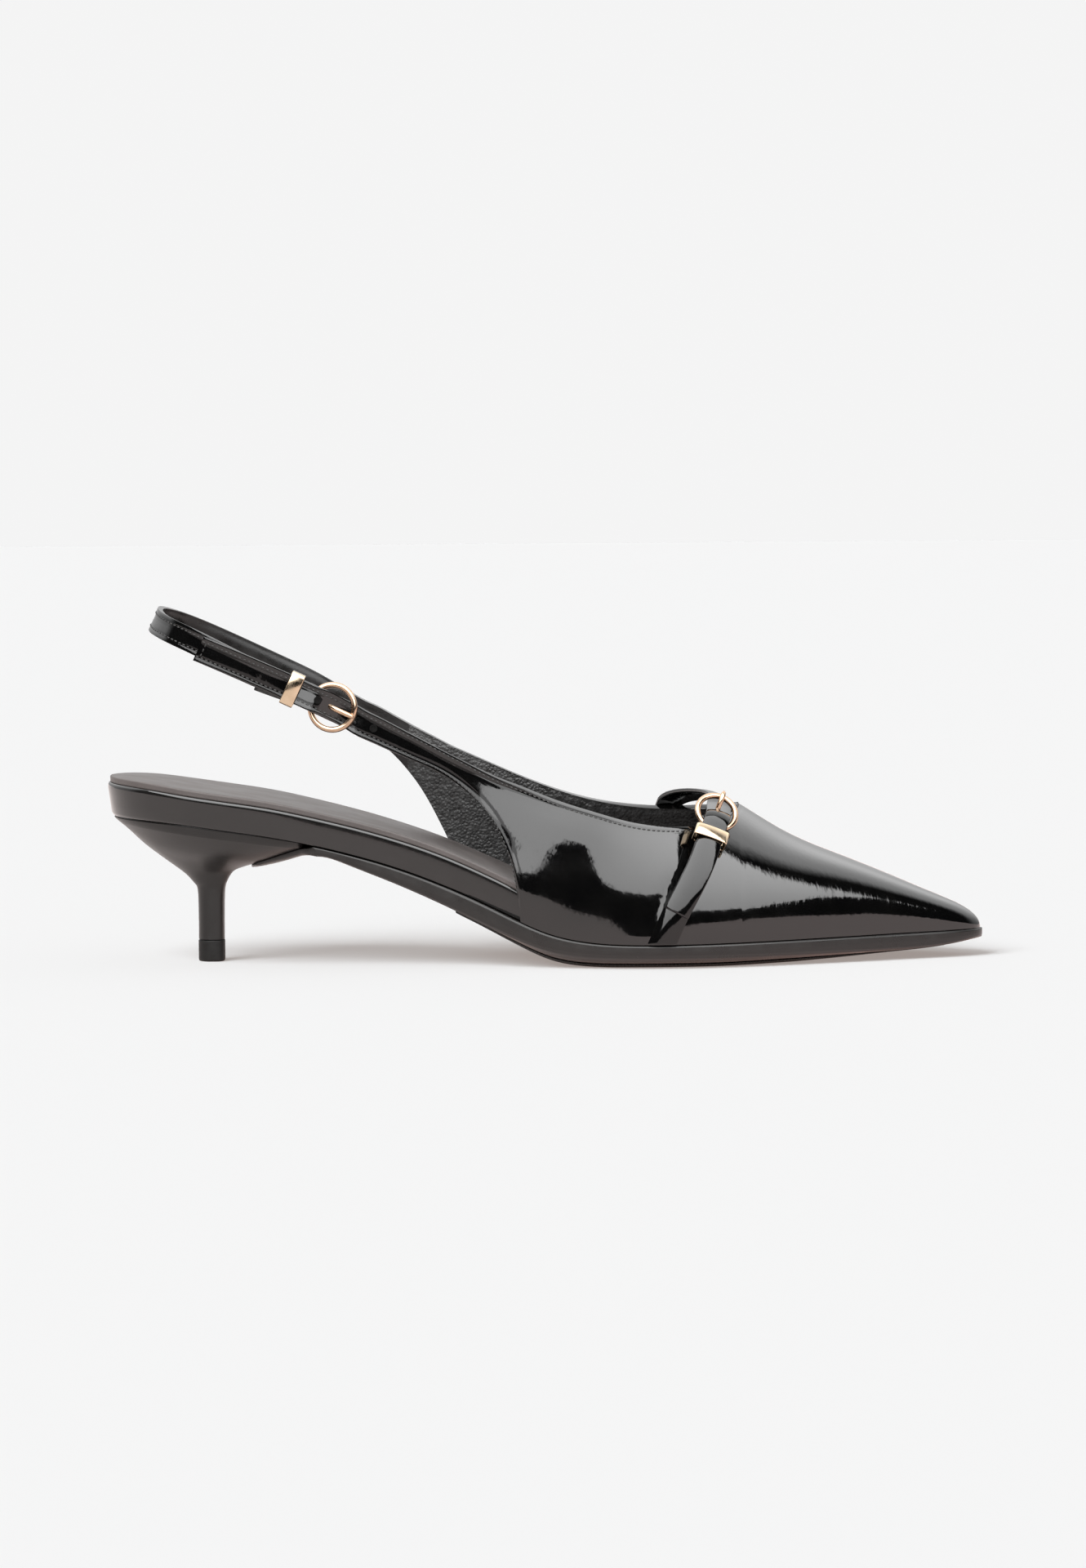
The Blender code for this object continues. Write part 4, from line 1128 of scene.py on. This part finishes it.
def strap_rows(middles, width, inward=0.0):
    """Rows across a strap; inward leans the upper edge towards the medial side, for each row."""
    offsets = (column_shares(width) - 0.5) * width
    lean = np.tile(STRAP_LEAN, (len(middles), 1))
    lean[:, 1] = inward
    return np.array(middles)[:, None, :] + lean[:, None, :] * offsets[None, :, None]


def hook_rows(place, offsets, turns, radius):
    """Rows of a strap's end that turn round the rear side of a ring and follow its curve."""
    middle, along, across, out = place
    reach = WIRE + GAP
    rows = []
    for turn in np.radians(turns):
        wire = across * offsets[:, None] - along * np.sqrt(radius ** 2 - offsets ** 2)[:, None]
        rows.append(middle + wire + along * reach * math.sin(turn) - out * reach * math.cos(turn))
    return np.array(rows)


def sling_frame():
    """Ring of the sling strap: middle, direction from its rear side to its front, width, outwards."""
    rear, front = np.array(SLING_BAR), np.array(SLING_RING_FRONT)
    along = unit(front - rear)
    out = unit(np.cross(along, STRAP_LEAN))
    return rear + along * RING_RADIUS, along, np.cross(out, along), out


def toe_rows():
    """Whole sections from the throat to the tip of the toe, from lateral to medial."""
    angles = np.linspace(float(upper_angle(THROAT)), math.pi, 64)
    station = UPPER_LENGTH * (1 - np.cos(angles)) / 2
    lateral, medial = [
        np.array([face_row(side, here, here, 0.0, 1.0, TOE_SHARES) for here in station]) for side in (-1, 1)
    ]
    return np.concatenate([lateral, medial[:, -2::-1]], axis=1)


THROAT_SECTION = outer_face(np.full(200, THROAT), -1, np.linspace(0, 1, 200))
TOE_SHARES = column_shares(run_lengths(THROAT_SECTION)[-1])


def swelled(rows, outs):
    """Rows of the lateral side with the swells and hollows of the leather, and the crease at the strap."""
    station, height = rows[..., 0], rows[..., 2]
    lift = np.zeros(station.shape)
    for at, level, along, up, depth in SWELLS:
        lift += depth * np.exp(-((station - at) / along) ** 2 - ((height - level) / up) ** 2)
    before, reach, depth = STRAP_CREASE
    low, low_fade, high, high_fade = CREASE_FADE
    level = np.clip(height, INSTEP_LOW, high)
    off = station - (INSTEP_LATERAL.at("station", level) - STRAP_WIDTH / 2 + before)
    fade = np.clip((high - height) / high_fade, 0, 1) * np.clip((height - low) / low_fade, 0, 1)
    lift -= depth * np.exp(-(off / reach) ** 2) * fade
    lift *= np.clip((THROAT - station) / SWELL_FADE, 0, 1)
    from_edge = np.linalg.norm(rows - rows[:, :1], axis=-1)
    on_strap = np.clip((height - STRAP_FREE[0]) / STRAP_FREE[1], 0, 1)
    lift *= smooth_step(from_edge / SWELL_FADE + on_strap)
    return rows + outs * lift[..., None]


def to_edges(points, edges):
    """Distance of each point from the nearest of the stitched edges."""
    flat = points.reshape(-1, 3)
    nearest = np.full(len(flat), 1e9)
    for edge in edges:
        for start, end in zip(edge[:-1], edge[1:]):
            step = end - start
            share = np.clip((flat - start) @ step / max(step @ step, 1e-9), 0, 1)
            nearest = np.minimum(nearest, np.linalg.norm(flat - start - share[:, None] * step, axis=1))
    return nearest


def rolled(rows, outs):
    """Rows whose topline stands a little proud, where the leather is rolled over the lining."""
    start, end, rise = ROLLED_EDGE
    from_top = to_edges(rows, [rows[:, -1]]).reshape(rows.shape[:2])
    lift = rise * (1 - smooth_step((from_top - start) / (end - start)))
    lift *= np.clip((THROAT - rows[..., 0]) / SWELL_FADE, 0, 1)
    return rows + outs * lift[..., None]


def make_upper(patent, lining, backing):
    """Vamp, wings and sling strap in one piece, and the rows that the stitches follow."""
    lateral, lateral_corner = wing_rows(-1, LATERAL_FRONT, LATERAL_REAR)
    medial, medial_corner = wing_rows(1, MEDIAL_FRONT, MEDIAL_REAR)
    inward = np.interp([row[0] for row in LATERAL_STRAP], *SLING_LEAN)
    free_end = strap_rows(LATERAL_STRAP, STRAP_WIDTH, inward)
    loop = strap_rows(MEDIAL_STRAP, SLING_WIDTH)
    across = (column_shares(SLING_WIDTH) - 0.5) * SLING_WIDTH
    hook = hook_rows(sling_frame(), across, HOOK_TURNS, RING_RADIUS)
    lateral_rear = np.concatenate([lateral[lateral_corner::WING_REAR_STEP], free_end])
    medial_rear = np.concatenate([medial[medial_corner::WING_REAR_STEP], loop, hook])
    lateral = np.concatenate([lateral[:lateral_corner], smooth_rows(lateral_rear, LATERAL_REAR_ROWS)])
    medial = np.concatenate([medial[:medial_corner], smooth_rows(medial_rear, MEDIAL_REAR_ROWS)])
    toe = toe_rows()
    lateral = rolled(swelled(lateral, outwards(lateral)), outwards(lateral))
    medial = rolled(medial, -outwards(medial))
    edges = [
        lateral[:, -1],
        medial[:, -1],
        lateral[lateral_corner::2, 0],
        medial[medial_corner::2, 0],
    ]
    build = bmesh.new()
    edge_layer = build.verts.layers.float.new("edge")
    for rows in (toe[::-1], lateral, medial[::-1]):
        verts = lay_sheet(build, rows)
        for vert, distance in zip(verts, to_edges(rows, edges)):
            vert[edge_layer] = distance
    for face in build.faces:
        middle = face.calc_center_median()
        if middle.x < (BACKING_START - LENGTH / 2) * 0.001:
            face.material_index = 2
    finishes = [patent, lining, patent, backing]
    piece = add_piece("patent_upper", build, finishes, ["upper"], turned=False)
    add_wall(piece, WALL, UPPER_ROUND, inner=1)
    return lateral, medial, lateral_corner, medial_corner


def on_upper(side, station, height):
    return outer_face(station, side, girth_at(station, height, side))


def face_directions(side, station, height):
    """Along the foot, up the face and outwards, at points of the upper's outer face."""
    station, height = np.broadcast_arrays(np.asarray(station, float), np.asarray(height, float))
    step = FACE_STEP
    along = (on_upper(side, station + step, height) - on_upper(side, station - step, height)) / (2 * step)
    up = (on_upper(side, station, height + step) - on_upper(side, station, height - step)) / (2 * step)
    return along, up, unit(np.cross(along, up)) * -side


class StrapCourse:
    """Course of a strap's middle up one side of the upper, measured by its length."""

    def __init__(self, side, table, low, high, zero):
        self.side = side
        self.table = table
        self.heights = np.linspace(low, high, 120)
        lengths = run_lengths(self.place(self.heights))
        self.lengths = lengths - np.interp(zero, self.heights, lengths)

    def place(self, height):
        height = np.asarray(height, float)
        return on_upper(self.side, self.table.at("station", height), height)

    def length_at(self, height):
        return float(np.interp(height, self.heights, self.lengths))

    def frame(self, length):
        """Points of the upper under the strap, and the directions along, across and outwards."""
        height = np.interp(length, self.lengths, self.heights)
        along = unit(self.place(height + FACE_STEP) - self.place(height - FACE_STEP))
        out = face_directions(self.side, self.table.at("station", height), height)[2]
        return self.place(height), along, unit(np.cross(out, along)), out

    def shifts(self, heights):
        """How far the station and the height change across the strap, for each millimetre."""
        heights = np.maximum(heights, self.heights[0])
        across = self.frame(np.interp(heights, self.heights, self.lengths))[2]
        forward, up, _ = face_directions(self.side, self.table.at("station", heights), heights)
        pairs = zip(forward, up, across)
        return np.array([np.linalg.lstsq(np.stack([f, u], axis=1), a, rcond=None)[0] for f, u, a in pairs])

    def foot_heights(self, offsets):
        """Heights at which the strap's columns meet the sole line."""
        along, up = self.shifts(self.heights[:1])[0]
        heights = np.full(len(offsets), self.heights[0])
        for _ in range(8):
            beside = self.table.at("station", heights) + along * offsets
            heights = feather(beside) + INSTEP_FOOT - up * offsets
        return heights

    def rows(self, heights, lifts, offsets):
        """Rows across the strap, each point lifted from the upper's own face."""
        shift = self.shifts(heights[:, heights.shape[1] // 2])
        beside = self.table.at("station", heights) + shift[:, :1] * offsets[None]
        level = heights + shift[:, 1:] * offsets[None]
        level = np.maximum(level, feather(beside) + INSTEP_FOOT * 0.5)
        out = face_directions(self.side, beside, level)[2]
        from_crown = np.abs(offsets / STRAP_WIDTH * 2 + CROWN_SHIFT)
        crown = STRAP_CROWN * (CROWN_MIDDLE - from_crown ** CROWN_POWER)
        return on_upper(self.side, beside, level) + out * (np.asarray(lifts)[:, None] + crown)[..., None]


def lateral_course():
    low = float(feather(INSTEP_LATERAL.at("station", INSTEP_LOW))) + INSTEP_FOOT
    return StrapCourse(-1, INSTEP_LATERAL, low, INSTEP_TOP, INSTEP_RING_HEIGHT)


def instep_offsets():
    return (np.linspace(0, 1, INSTEP_COLUMNS) - 0.5) * STRAP_WIDTH


def eased(lengths, knots):
    """Lifts along a strap, with the corners between the knots rounded off."""
    near = np.linspace(-3 * LIFT_EASE, 3 * LIFT_EASE, 41)
    weight = np.exp(-0.5 * (near / LIFT_EASE) ** 2)
    lift = np.interp(lengths[:, None] + near[None], *zip(*knots))
    return lift @ weight / weight.sum()


def bridge(first, last, reach, count):
    """Rows between two pairs of rows that keep the direction at both ends."""
    start, start_way = first[1], unit(first[1] - first[0]) * reach
    end, end_way = last[0], unit(last[1] - last[0]) * reach
    shares = np.linspace(0, 1, count + 2)[1:-1]
    return np.array([bezier(start, start + start_way / 3, end - end_way / 3, end, s) for s in shares])


def make_instep_strap(patent):
    """Free strap over the instep, and the rows on which its hole lies."""
    course = lateral_course()
    offsets = instep_offsets()
    lengths = np.linspace(course.length_at(INSTEP_END_HEIGHT), course.length_at(INSTEP_BRIDGE_HEIGHT), 90)
    heights = np.interp(lengths, course.lengths, course.heights)
    level = np.repeat(heights[:, None], len(offsets), axis=1)
    rows = course.rows(level, eased(lengths, FREE_LIFT), offsets)
    low = float(feather(INSTEP_MEDIAL.at("station", INSTEP_MEDIAL_LOW))) + INSTEP_FOOT
    medial = StrapCourse(1, INSTEP_MEDIAL, low, INSTEP_MEDIAL_TOP, INSTEP_MEDIAL_TOP)
    share = np.linspace(1, 0, 40)[:, None]
    feet = medial.foot_heights(offsets[::-1])
    down = feet + share * (INSTEP_MEDIAL_TOP - feet)
    far = medial.rows(down, np.full(40, LIFT_ON_UPPER), offsets[::-1])
    rows = np.concatenate([rows, bridge(rows[-2:], far[:2], INSTEP_BRIDGE_REACH, 34), far])
    piece = add_sheet("instep_free_strap", rows[::-1], [patent], ["instep_strap"], turned=False)
    add_wall(piece, STRAP, STRAP_ROUND)
    return rows


def make_instep_anchor(patent):
    course = lateral_course()
    offsets = instep_offsets()
    top = np.interp(-RING_RADIUS, course.lengths, course.heights)
    feet = course.foot_heights(offsets)
    heights = feet + np.linspace(0, 1, 70)[:, None] * (top - feet)
    lengths = np.interp(heights[:, len(offsets) // 2], course.heights, course.lengths)
    rows = course.rows(heights, eased(lengths, ANCHOR_LIFT), offsets)
    rows = np.concatenate([rows, hook_rows(instep_frame(), offsets, HOOK_TURNS[1:], INSTEP_RADIUS)])
    node = "instep_strap_anchor"
    piece = add_sheet("instep_fixed_strap", rows[::-1], [patent], [node], turned=False)
    add_wall(piece, STRAP, STRAP_ROUND)


def instep_frame():
    """Ring of the instep strap, held by its lower side between two straps and standing off at the top."""
    course = lateral_course()
    low, _, across, low_out = course.frame(-RING_RADIUS)
    high, _, _, high_out = course.frame(RING_RADIUS)
    rear = low + low_out * LIFT_OF_BAR
    front = high + high_out * (LIFT_ON_UPPER + GAP + WIRE + RING_SLACK)
    along = unit(front - rear)
    out = unit(np.cross(along, across))
    across = np.cross(out, along)
    turn = math.radians(RING_STAND)
    stand = along * math.cos(turn) + out * math.sin(turn)
    face = out * math.cos(turn) - along * math.sin(turn)
    return rear + RING_SHIFT + stand * INSTEP_RADIUS, stand, across, face


def placed(middle, along, across, out):
    """Matrix that puts a local along, across, out frame at a point of the shoe."""
    matrix = Matrix(np.stack([along, across, out], axis=1).tolist()).to_4x4()
    matrix.translation = Vector(metres(middle))
    return matrix


def make_ring(name, place, radius, gold, node):
    """Round buckle ring, a wire section spun round its middle."""
    build = bmesh.new()
    bmesh.ops.create_circle(build, segments=20, radius=RING_WIRE * 0.001)
    bmesh.ops.rotate(build, verts=build.verts, matrix=Matrix.Rotation(math.pi / 2, 3, "X"))
    bmesh.ops.translate(build, verts=build.verts, vec=(radius * 0.001, 0, 0))
    bmesh.ops.spin(
        build, geom=build.verts[:] + build.edges[:], cent=(0, 0, 0), axis=(0, 0, 1),
        angle=2 * math.pi, steps=96, use_merge=True,
    )
    bmesh.ops.transform(build, matrix=placed(*place), verts=build.verts)
    return add_piece(name, build, [gold], [node])


def make_prong(name, place, pin, gold, node):
    """Flattened pin that comes up through the strap and rests on the ring's far side."""
    middle, along, across, out = place
    course = smooth_rows(np.array([[(a, 0.0, o)] for a, o in pin]), 40)[:, 0]
    way = unit(np.gradient(course, axis=0))
    turn = np.linspace(0, 2 * math.pi, 17)
    sides = np.sign(np.cos(turn)) * np.abs(np.cos(turn)) ** PRONG_FLAT
    thick = PRONG_PIN * np.interp(np.arange(40), *PRONG_TAPER)
    rings = []
    for point, ahead, size in zip(course, way, thick):
        up = np.array([-ahead[2], 0.0, ahead[0]])
        ring = point + size * (sides[:, None] * (0, 1.0, 0) + np.sin(turn)[:, None] * up)
        rings.append(middle + ring[:, :1] * along + ring[:, 1:2] * across + ring[:, 2:] * out)
    return add_sheet(name, closed_tube(rings), [gold], [node])


def make_keeper(name, place, depth, gold, node):
    """Flat metal loop with softened edges round two straps."""
    origin, along, across, out = place
    half = STRAP_WIDTH / 2 + GAP + KEEPER_METAL + KEEPER_EASE
    soft = KEEPER_SOFT
    section = []
    for x, y in ((1, 1), (1, -1), (-1, -1), (-1, 1)):
        for turn in np.radians(np.linspace(0, 90, 4)):
            if x * y > 0:
                turn = math.pi / 2 - turn
            section.append((
                x * (KEEPER_METAL / 2 - soft + soft * math.cos(turn)),
                y * (KEEPER_WIDTH / 2 - soft + soft * math.sin(turn)),
            ))
    section = np.array(section + section[:1])
    rings = []
    radius = KEEPER_CORNER - KEEPER_METAL / 2 + section[:, :1]
    for corner in range(4):
        middle = math.radians(45 + 90 * corner)
        side = math.copysign(half - KEEPER_CORNER, math.cos(middle))
        level = depth / 2 + math.copysign(depth / 2 - KEEPER_CORNER, math.sin(middle))
        for turn in np.radians(np.linspace(0, 90, 7) + 90 * corner):
            spot = across * (side + radius * math.cos(turn)) + out * (level + radius * math.sin(turn))
            rings.append(origin + spot + along * section[:, 1:])
        if corner == 0:
            for share in np.linspace(1, -1, 11)[1:-1]:
                rise = depth - KEEPER_METAL / 2 + section[:, :1] + KEEPER_BOW * (1 - share * share)
                spot = across * share * (half - KEEPER_CORNER) + out * rise
                rings.append(origin + spot + along * section[:, 1:])
    return keep_sharp(add_sheet(name, np.array(rings + rings[:1]), [gold], [node]), 70)


def sling_keeper_frame():
    along = unit(sling_frame()[1] * np.array([1, 0, 1]))
    out = np.array([0.0, -1.0, 0.0])
    return np.array(SLING_KEEPER), along, np.cross(out, along), out


def instep_keeper_frame():
    origin, along, across, out = lateral_course().frame(-KEEPER_FROM_RING)
    return origin + out * GAP, along, across, out


def stitch_line(points, outs):
    """Places of the stitches along a line on the leather, with their direction and the way outwards."""
    steps = np.linalg.norm(np.diff(points, axis=0), axis=1)
    keep = np.concatenate([[True], steps > 1e-4])
    points, outs = points[keep], outs[keep]
    measure = run_lengths(points)
    count = int(measure[-1] / STITCH_PITCH)
    places = (np.arange(count) + 0.5) * measure[-1] / max(count, 1)

    def at(values, where):
        return np.stack([np.interp(where, measure, values[:, i]) for i in range(3)], axis=1)

    spots = at(points, places)
    ways = unit(at(points, places + 0.3) - at(points, places - 0.3))
    return list(zip(spots, ways, unit(at(outs, places))))


def sew(name, lines, finish):
    """Small raised stitches, each a squashed sphere lying on the leather."""
    thick = STITCH_THICK * 0.0005
    size = Matrix.Diagonal((STITCH_LENGTH * 0.0005, thick, thick * STITCH_FLAT, 1.0))
    build = bmesh.new()
    for spot, way, out in [stitch for line in lines for stitch in line]:
        side = unit(np.cross(out, way))
        turn = Matrix(np.stack([way, side, unit(np.cross(way, side))], axis=1).tolist()).to_4x4()
        place = Matrix.Translation(Vector(metres(spot + out * STITCH_PROUD))) @ turn @ size
        bmesh.ops.create_uvsphere(build, u_segments=6, v_segments=5, radius=1.0, matrix=place)
    return add_piece(name, build, [finish])


def outwards(rows):
    """Outward direction at every point of a sheet whose rows run from toe to heel on the lateral side."""
    along = np.gradient(rows, axis=0)
    across = np.gradient(rows, axis=1)
    return unit(np.cross(across, along) + 1e-12)


def inside_edge(rows, outs, from_top):
    """Stitch line on a sheet along its upper or lower edge."""
    points, ways = [], []
    for row, out in zip(rows, outs):
        if from_top:
            row, out = row[::-1], out[::-1]
        measure = run_lengths(row)
        points.append([np.interp(STITCH_INSET, measure, row[:, i]) for i in range(3)])
        ways.append([np.interp(STITCH_INSET, measure, out[:, i]) for i in range(3)])
    return np.array(points), np.array(ways)


def sew_upper(finish, lateral, medial, lateral_corner, medial_corner):
    """Seams along the toplines, the rear edges of the wings and the square end of the sling strap."""
    lateral_out = outwards(lateral)
    medial_out = -outwards(medial)
    lateral_low = slice(lateral_corner + STITCH_ENDS, None)
    medial_top = slice(None, -STITCH_ENDS)
    medial_low = slice(medial_corner + STITCH_ENDS, -STITCH_ENDS)
    lines = [
        inside_edge(lateral, lateral_out, True),
        inside_edge(medial[medial_top], medial_out[medial_top], True),
        inside_edge(lateral[lateral_low], lateral_out[lateral_low], False),
        inside_edge(medial[medial_low], medial_out[medial_low], False),
        (lateral[-3, 3:-3], lateral_out[-3, 3:-3]),
    ]
    return sew("upper_stitches", [stitch_line(*line) for line in lines], finish)


def make_sling_return(patent, lining):
    """Tail of the heel strap, folded back and stitched down inside the buckle."""
    rows = smooth_rows(strap_rows(SLING_RETURN, SLING_WIDTH), 30)
    piece = add_sheet("sling_tail", rows[::-1], [patent, lining], turned=False)
    add_wall(piece, *SLING_TAIL, inner=1)


def make_hole(build, spot, out):
    """Punched hole: a shallow dark cup with a soft rim, sunk in the leather. No opening is cut: the cup's
    dark colour is painted shade.
    """
    side = unit(np.cross(out, (0.0, 0.0, 1.0)))
    up = np.cross(out, side)
    turn = np.linspace(0, 2 * math.pi, 25)
    circle = np.cos(turn)[:, None] * side + np.sin(turn)[:, None] * up
    rings = [spot + circle * HOLE_RADIUS * size + out * (HOLE_PROUD + lift) for size, lift in HOLE_RIM]
    lay_sheet(build, np.array(rings))


def make_holes(finish, lateral, strap):
    """Holes along the sling strap and beside the instep ring, each a cup coloured in painted shade."""
    outs = outwards(lateral)
    build = bmesh.new()
    middle = lateral.shape[1] // 2
    stations = lateral[:, middle, 0]
    for station in SLING_HOLES:
        i = int(np.argmin(np.abs(stations - station)))
        make_hole(build, lateral[i, middle], outs[i, middle])
    row, column = INSTEP_HOLE
    across = strap[row, column + 1] - strap[row, column - 1]
    along = strap[row + 1, column] - strap[row - 1, column]
    make_hole(build, strap[row, column], unit(np.cross(across, along)))
    return add_piece("punched_holes", build, [finish], turned=False)


def make_floor():
    """Pale paper under the shoe. Its warm glow is painted light that stays in its shadows and tints them;
    in the gloss it glows more, most so near the toe, as a painted reflection.
    """
    build = bmesh.new()
    bmesh.ops.create_grid(build, x_segments=1, y_segments=1, size=FLOOR_SIZE)
    mesh = bpy.data.meshes.new("studio_floor")
    build.to_mesh(mesh)
    build.free()
    glow = [PAPER_LIGHT - part for part in PAPER]
    sockets = {"Roughness": 1.0, "Specular_IOR_Level": 0.0, "Emission_Strength": 1.0}
    paper = new_finish("pale_paper", Base_Color=(*PAPER, 1.0), **sockets)
    glossy = paper.node("ShaderNodeLightPath", output="Is Glossy Ray")
    here = paper.node("ShaderNodeTexCoord", output="Object")
    along = paper.node("ShaderNodeSeparateXYZ", {}, {"Vector": here}, output="X")
    near_heel = [part + more for part, more in zip(glow, PAPER_AT_HEEL)]
    near_toe = [part + more for part, more in zip(glow, PAPER_AT_TOE)]
    # Painted reflection: the glow that only the gloss sees rises from the heel towards the toe.
    share = glossy * paper.between(along, -0.12, 0.14, 0.5, 1.0)
    paper.feed("Emission Color", paper.ramp(share, [(0.0, glow), (0.5, near_heel), (1.0, near_toe)]))
    mesh.materials.append(paper.owner)
    floor = add_object("studio_floor", mesh)


def make_sky():
    """White studio for the eye and the floor. In the gloss it is dark in front and pale behind."""
    world = bpy.data.worlds.new("white_studio")
    bpy.context.scene.world = world
    sky = Finish(world, "Background")
    way = sky.node("ShaderNodeTexCoord", output="Generated")
    back = sky.node("ShaderNodeSeparateXYZ", {}, {"Vector": way}, output="Y")
    high = sky.node("ShaderNodeSeparateXYZ", {}, {"Vector": way}, output="Z")
    behind = sky.between(back, -0.25, 0.14) * sky.between(high, 0.05, 0.7, 0.5, 1.9) + SKY_LEAST
    glossy = sky.node("ShaderNodeLightPath", output="Is Glossy Ray")
    camera = sky.node("ShaderNodeLightPath", output="Is Camera Ray")
    level = glossy * behind + (1.0 - glossy) * (SKY_LIGHT + camera * SKY_SEEN)
    sky.shader.inputs["Color"].default_value = (1.0, 1.0, 1.0, 1.0)
    sky.feed("Strength", level)


def make_scrim(name, near, far, left, right, near_glow, far_glow, slant):
    """White scrim that shows in the gloss, from a near to a far edge, each given as y and z.

    slant gives the shares of the width where its right side ends, at the near and at the far edge.
    """
    (near_y, near_z), (far_y, far_z) = near, far
    data = bpy.data.lights.new(name, "AREA")
    data.shape = "RECTANGLE"
    data.size = right - left
    data.size_y = math.hypot(far_y - near_y, far_z - near_z)
    data.energy = math.pi * data.size * data.size_y
    glow = Finish(data, "Emission")
    spot = glow.node("ShaderNodeNewGeometry", output="Parametric")
    across = glow.node("ShaderNodeSeparateXYZ", {}, {"Vector": spot}, output="X")
    along = glow.node("ShaderNodeSeparateXYZ", {}, {"Vector": spot}, output="Y")
    spare = slant[0] + along * (slant[1] - slant[0]) - across
    lit = glow.between(spare, 0.0, SCRIM_SOFT)
    glow.feed("Strength", lit * glow.between(along, 0.0, 1.0, near_glow, far_glow))
    lamp = add_object(name, data)
    way = Vector((0.0, far_y - near_y, far_z - near_z)).normalized()
    back = Vector((1.0, 0.0, 0.0)).cross(way)
    turn = Matrix((Vector((1.0, 0.0, 0.0)), way, back)).transposed()
    lamp.location = ((left + right) / 2, (near_y + far_y) / 2, (near_z + far_z) / 2)
    lamp.rotation_euler = turn.to_euler()
    lamp.visible_camera = False
    lamp.visible_diffuse = False


def make_window():
    """Wide soft light from the front left that casts the shadow on the floor."""
    data = bpy.data.lights.new("window", "SUN")
    data.energy = WINDOW_LIGHT
    data.angle = math.radians(WINDOW_SPREAD)
    lamp = add_object("window", data)
    lamp.rotation_euler = WINDOW_WAY.to_track_quat("-Z", "Y").to_euler()
    lamp.visible_glossy = False


def make_camera():
    """Camera of the photograph: long lens, four degrees above level, rolled a little."""
    data = bpy.data.cameras.new("camera")
    data.sensor_fit = "VERTICAL"
    data.sensor_height = CAMERA_SENSOR
    data.lens = CAMERA_LENS
    camera = add_object("camera", data)
    rise = math.radians(CAMERA_RISE)
    camera.location = CAMERA_TARGET + CAMERA_REACH * Vector((0, -math.cos(rise), math.sin(rise)))
    roll = Matrix.Rotation(math.radians(CAMERA_ROLL), 4, "Z")
    camera.rotation_euler = (Matrix.Rotation(math.pi / 2 - rise, 4, "X") @ roll).to_euler()
    bpy.context.scene.camera = camera


make_camera()
make_floor()
make_sky()
make_scrim("front_scrim", (-2.3, 0.46), (-0.18, 1.38), -1.2, 2.1, 3.5, 5.6, (1.46, 0.5))
make_window()

patent_stitched = patent_leather("black_patent_stitched", True)
patent_plain = patent_leather("black_patent_plain", False)
patent_strap = patent_leather("black_patent_strap", False, mirror=0.38, coat=0.3)
lining = lining_leather()
rose = polished_gold("rose_gold_plating", (0.50, 0.34, 0.23), (0.60, 0.43, 0.30))
pale = polished_gold("pale_gold_plating", (0.66, 0.51, 0.35), (0.75, 0.60, 0.43))
sewing = thread()
make_insole(sock_leather())
make_board(covered_band())
make_outsole(moulded_sole())
make_tread_pad(tread_rubber())
make_heel(heel_lacquer())
make_top_lift(lift_rubber())
upper_rows = make_upper(patent_stitched, lining, strap_backing())
instep_rows = make_instep_strap(patent_strap)
make_instep_anchor(patent_strap)
make_sling_return(patent_plain, lining)
make_ring("sling_buckle_ring", sling_frame(), RING_RADIUS, rose, "sling_ring")
make_prong("sling_buckle_prong", sling_frame(), SLING_PRONG, rose, "sling_prong")
make_keeper("sling_strap_keeper", sling_keeper_frame(), SLING_KEEPER_DEPTH, pale, "sling_keeper")
make_ring("instep_buckle_ring", instep_frame(), INSTEP_RADIUS, rose, "instep_ring")
make_prong("instep_buckle_prong", instep_frame(), INSTEP_PRONG, rose, "instep_prong")
keeper_depth = LIFT_IN_KEEPER + LIFT_ON_UPPER + KEEPER_METAL
make_keeper("instep_strap_keeper", instep_keeper_frame(), keeper_depth, pale, "instep_keeper")
sew_upper(sewing, *upper_rows)
make_holes(painted_hole_shade(), upper_rows[0], instep_rows)

bpy.context.scene.view_settings.view_transform = "Standard"
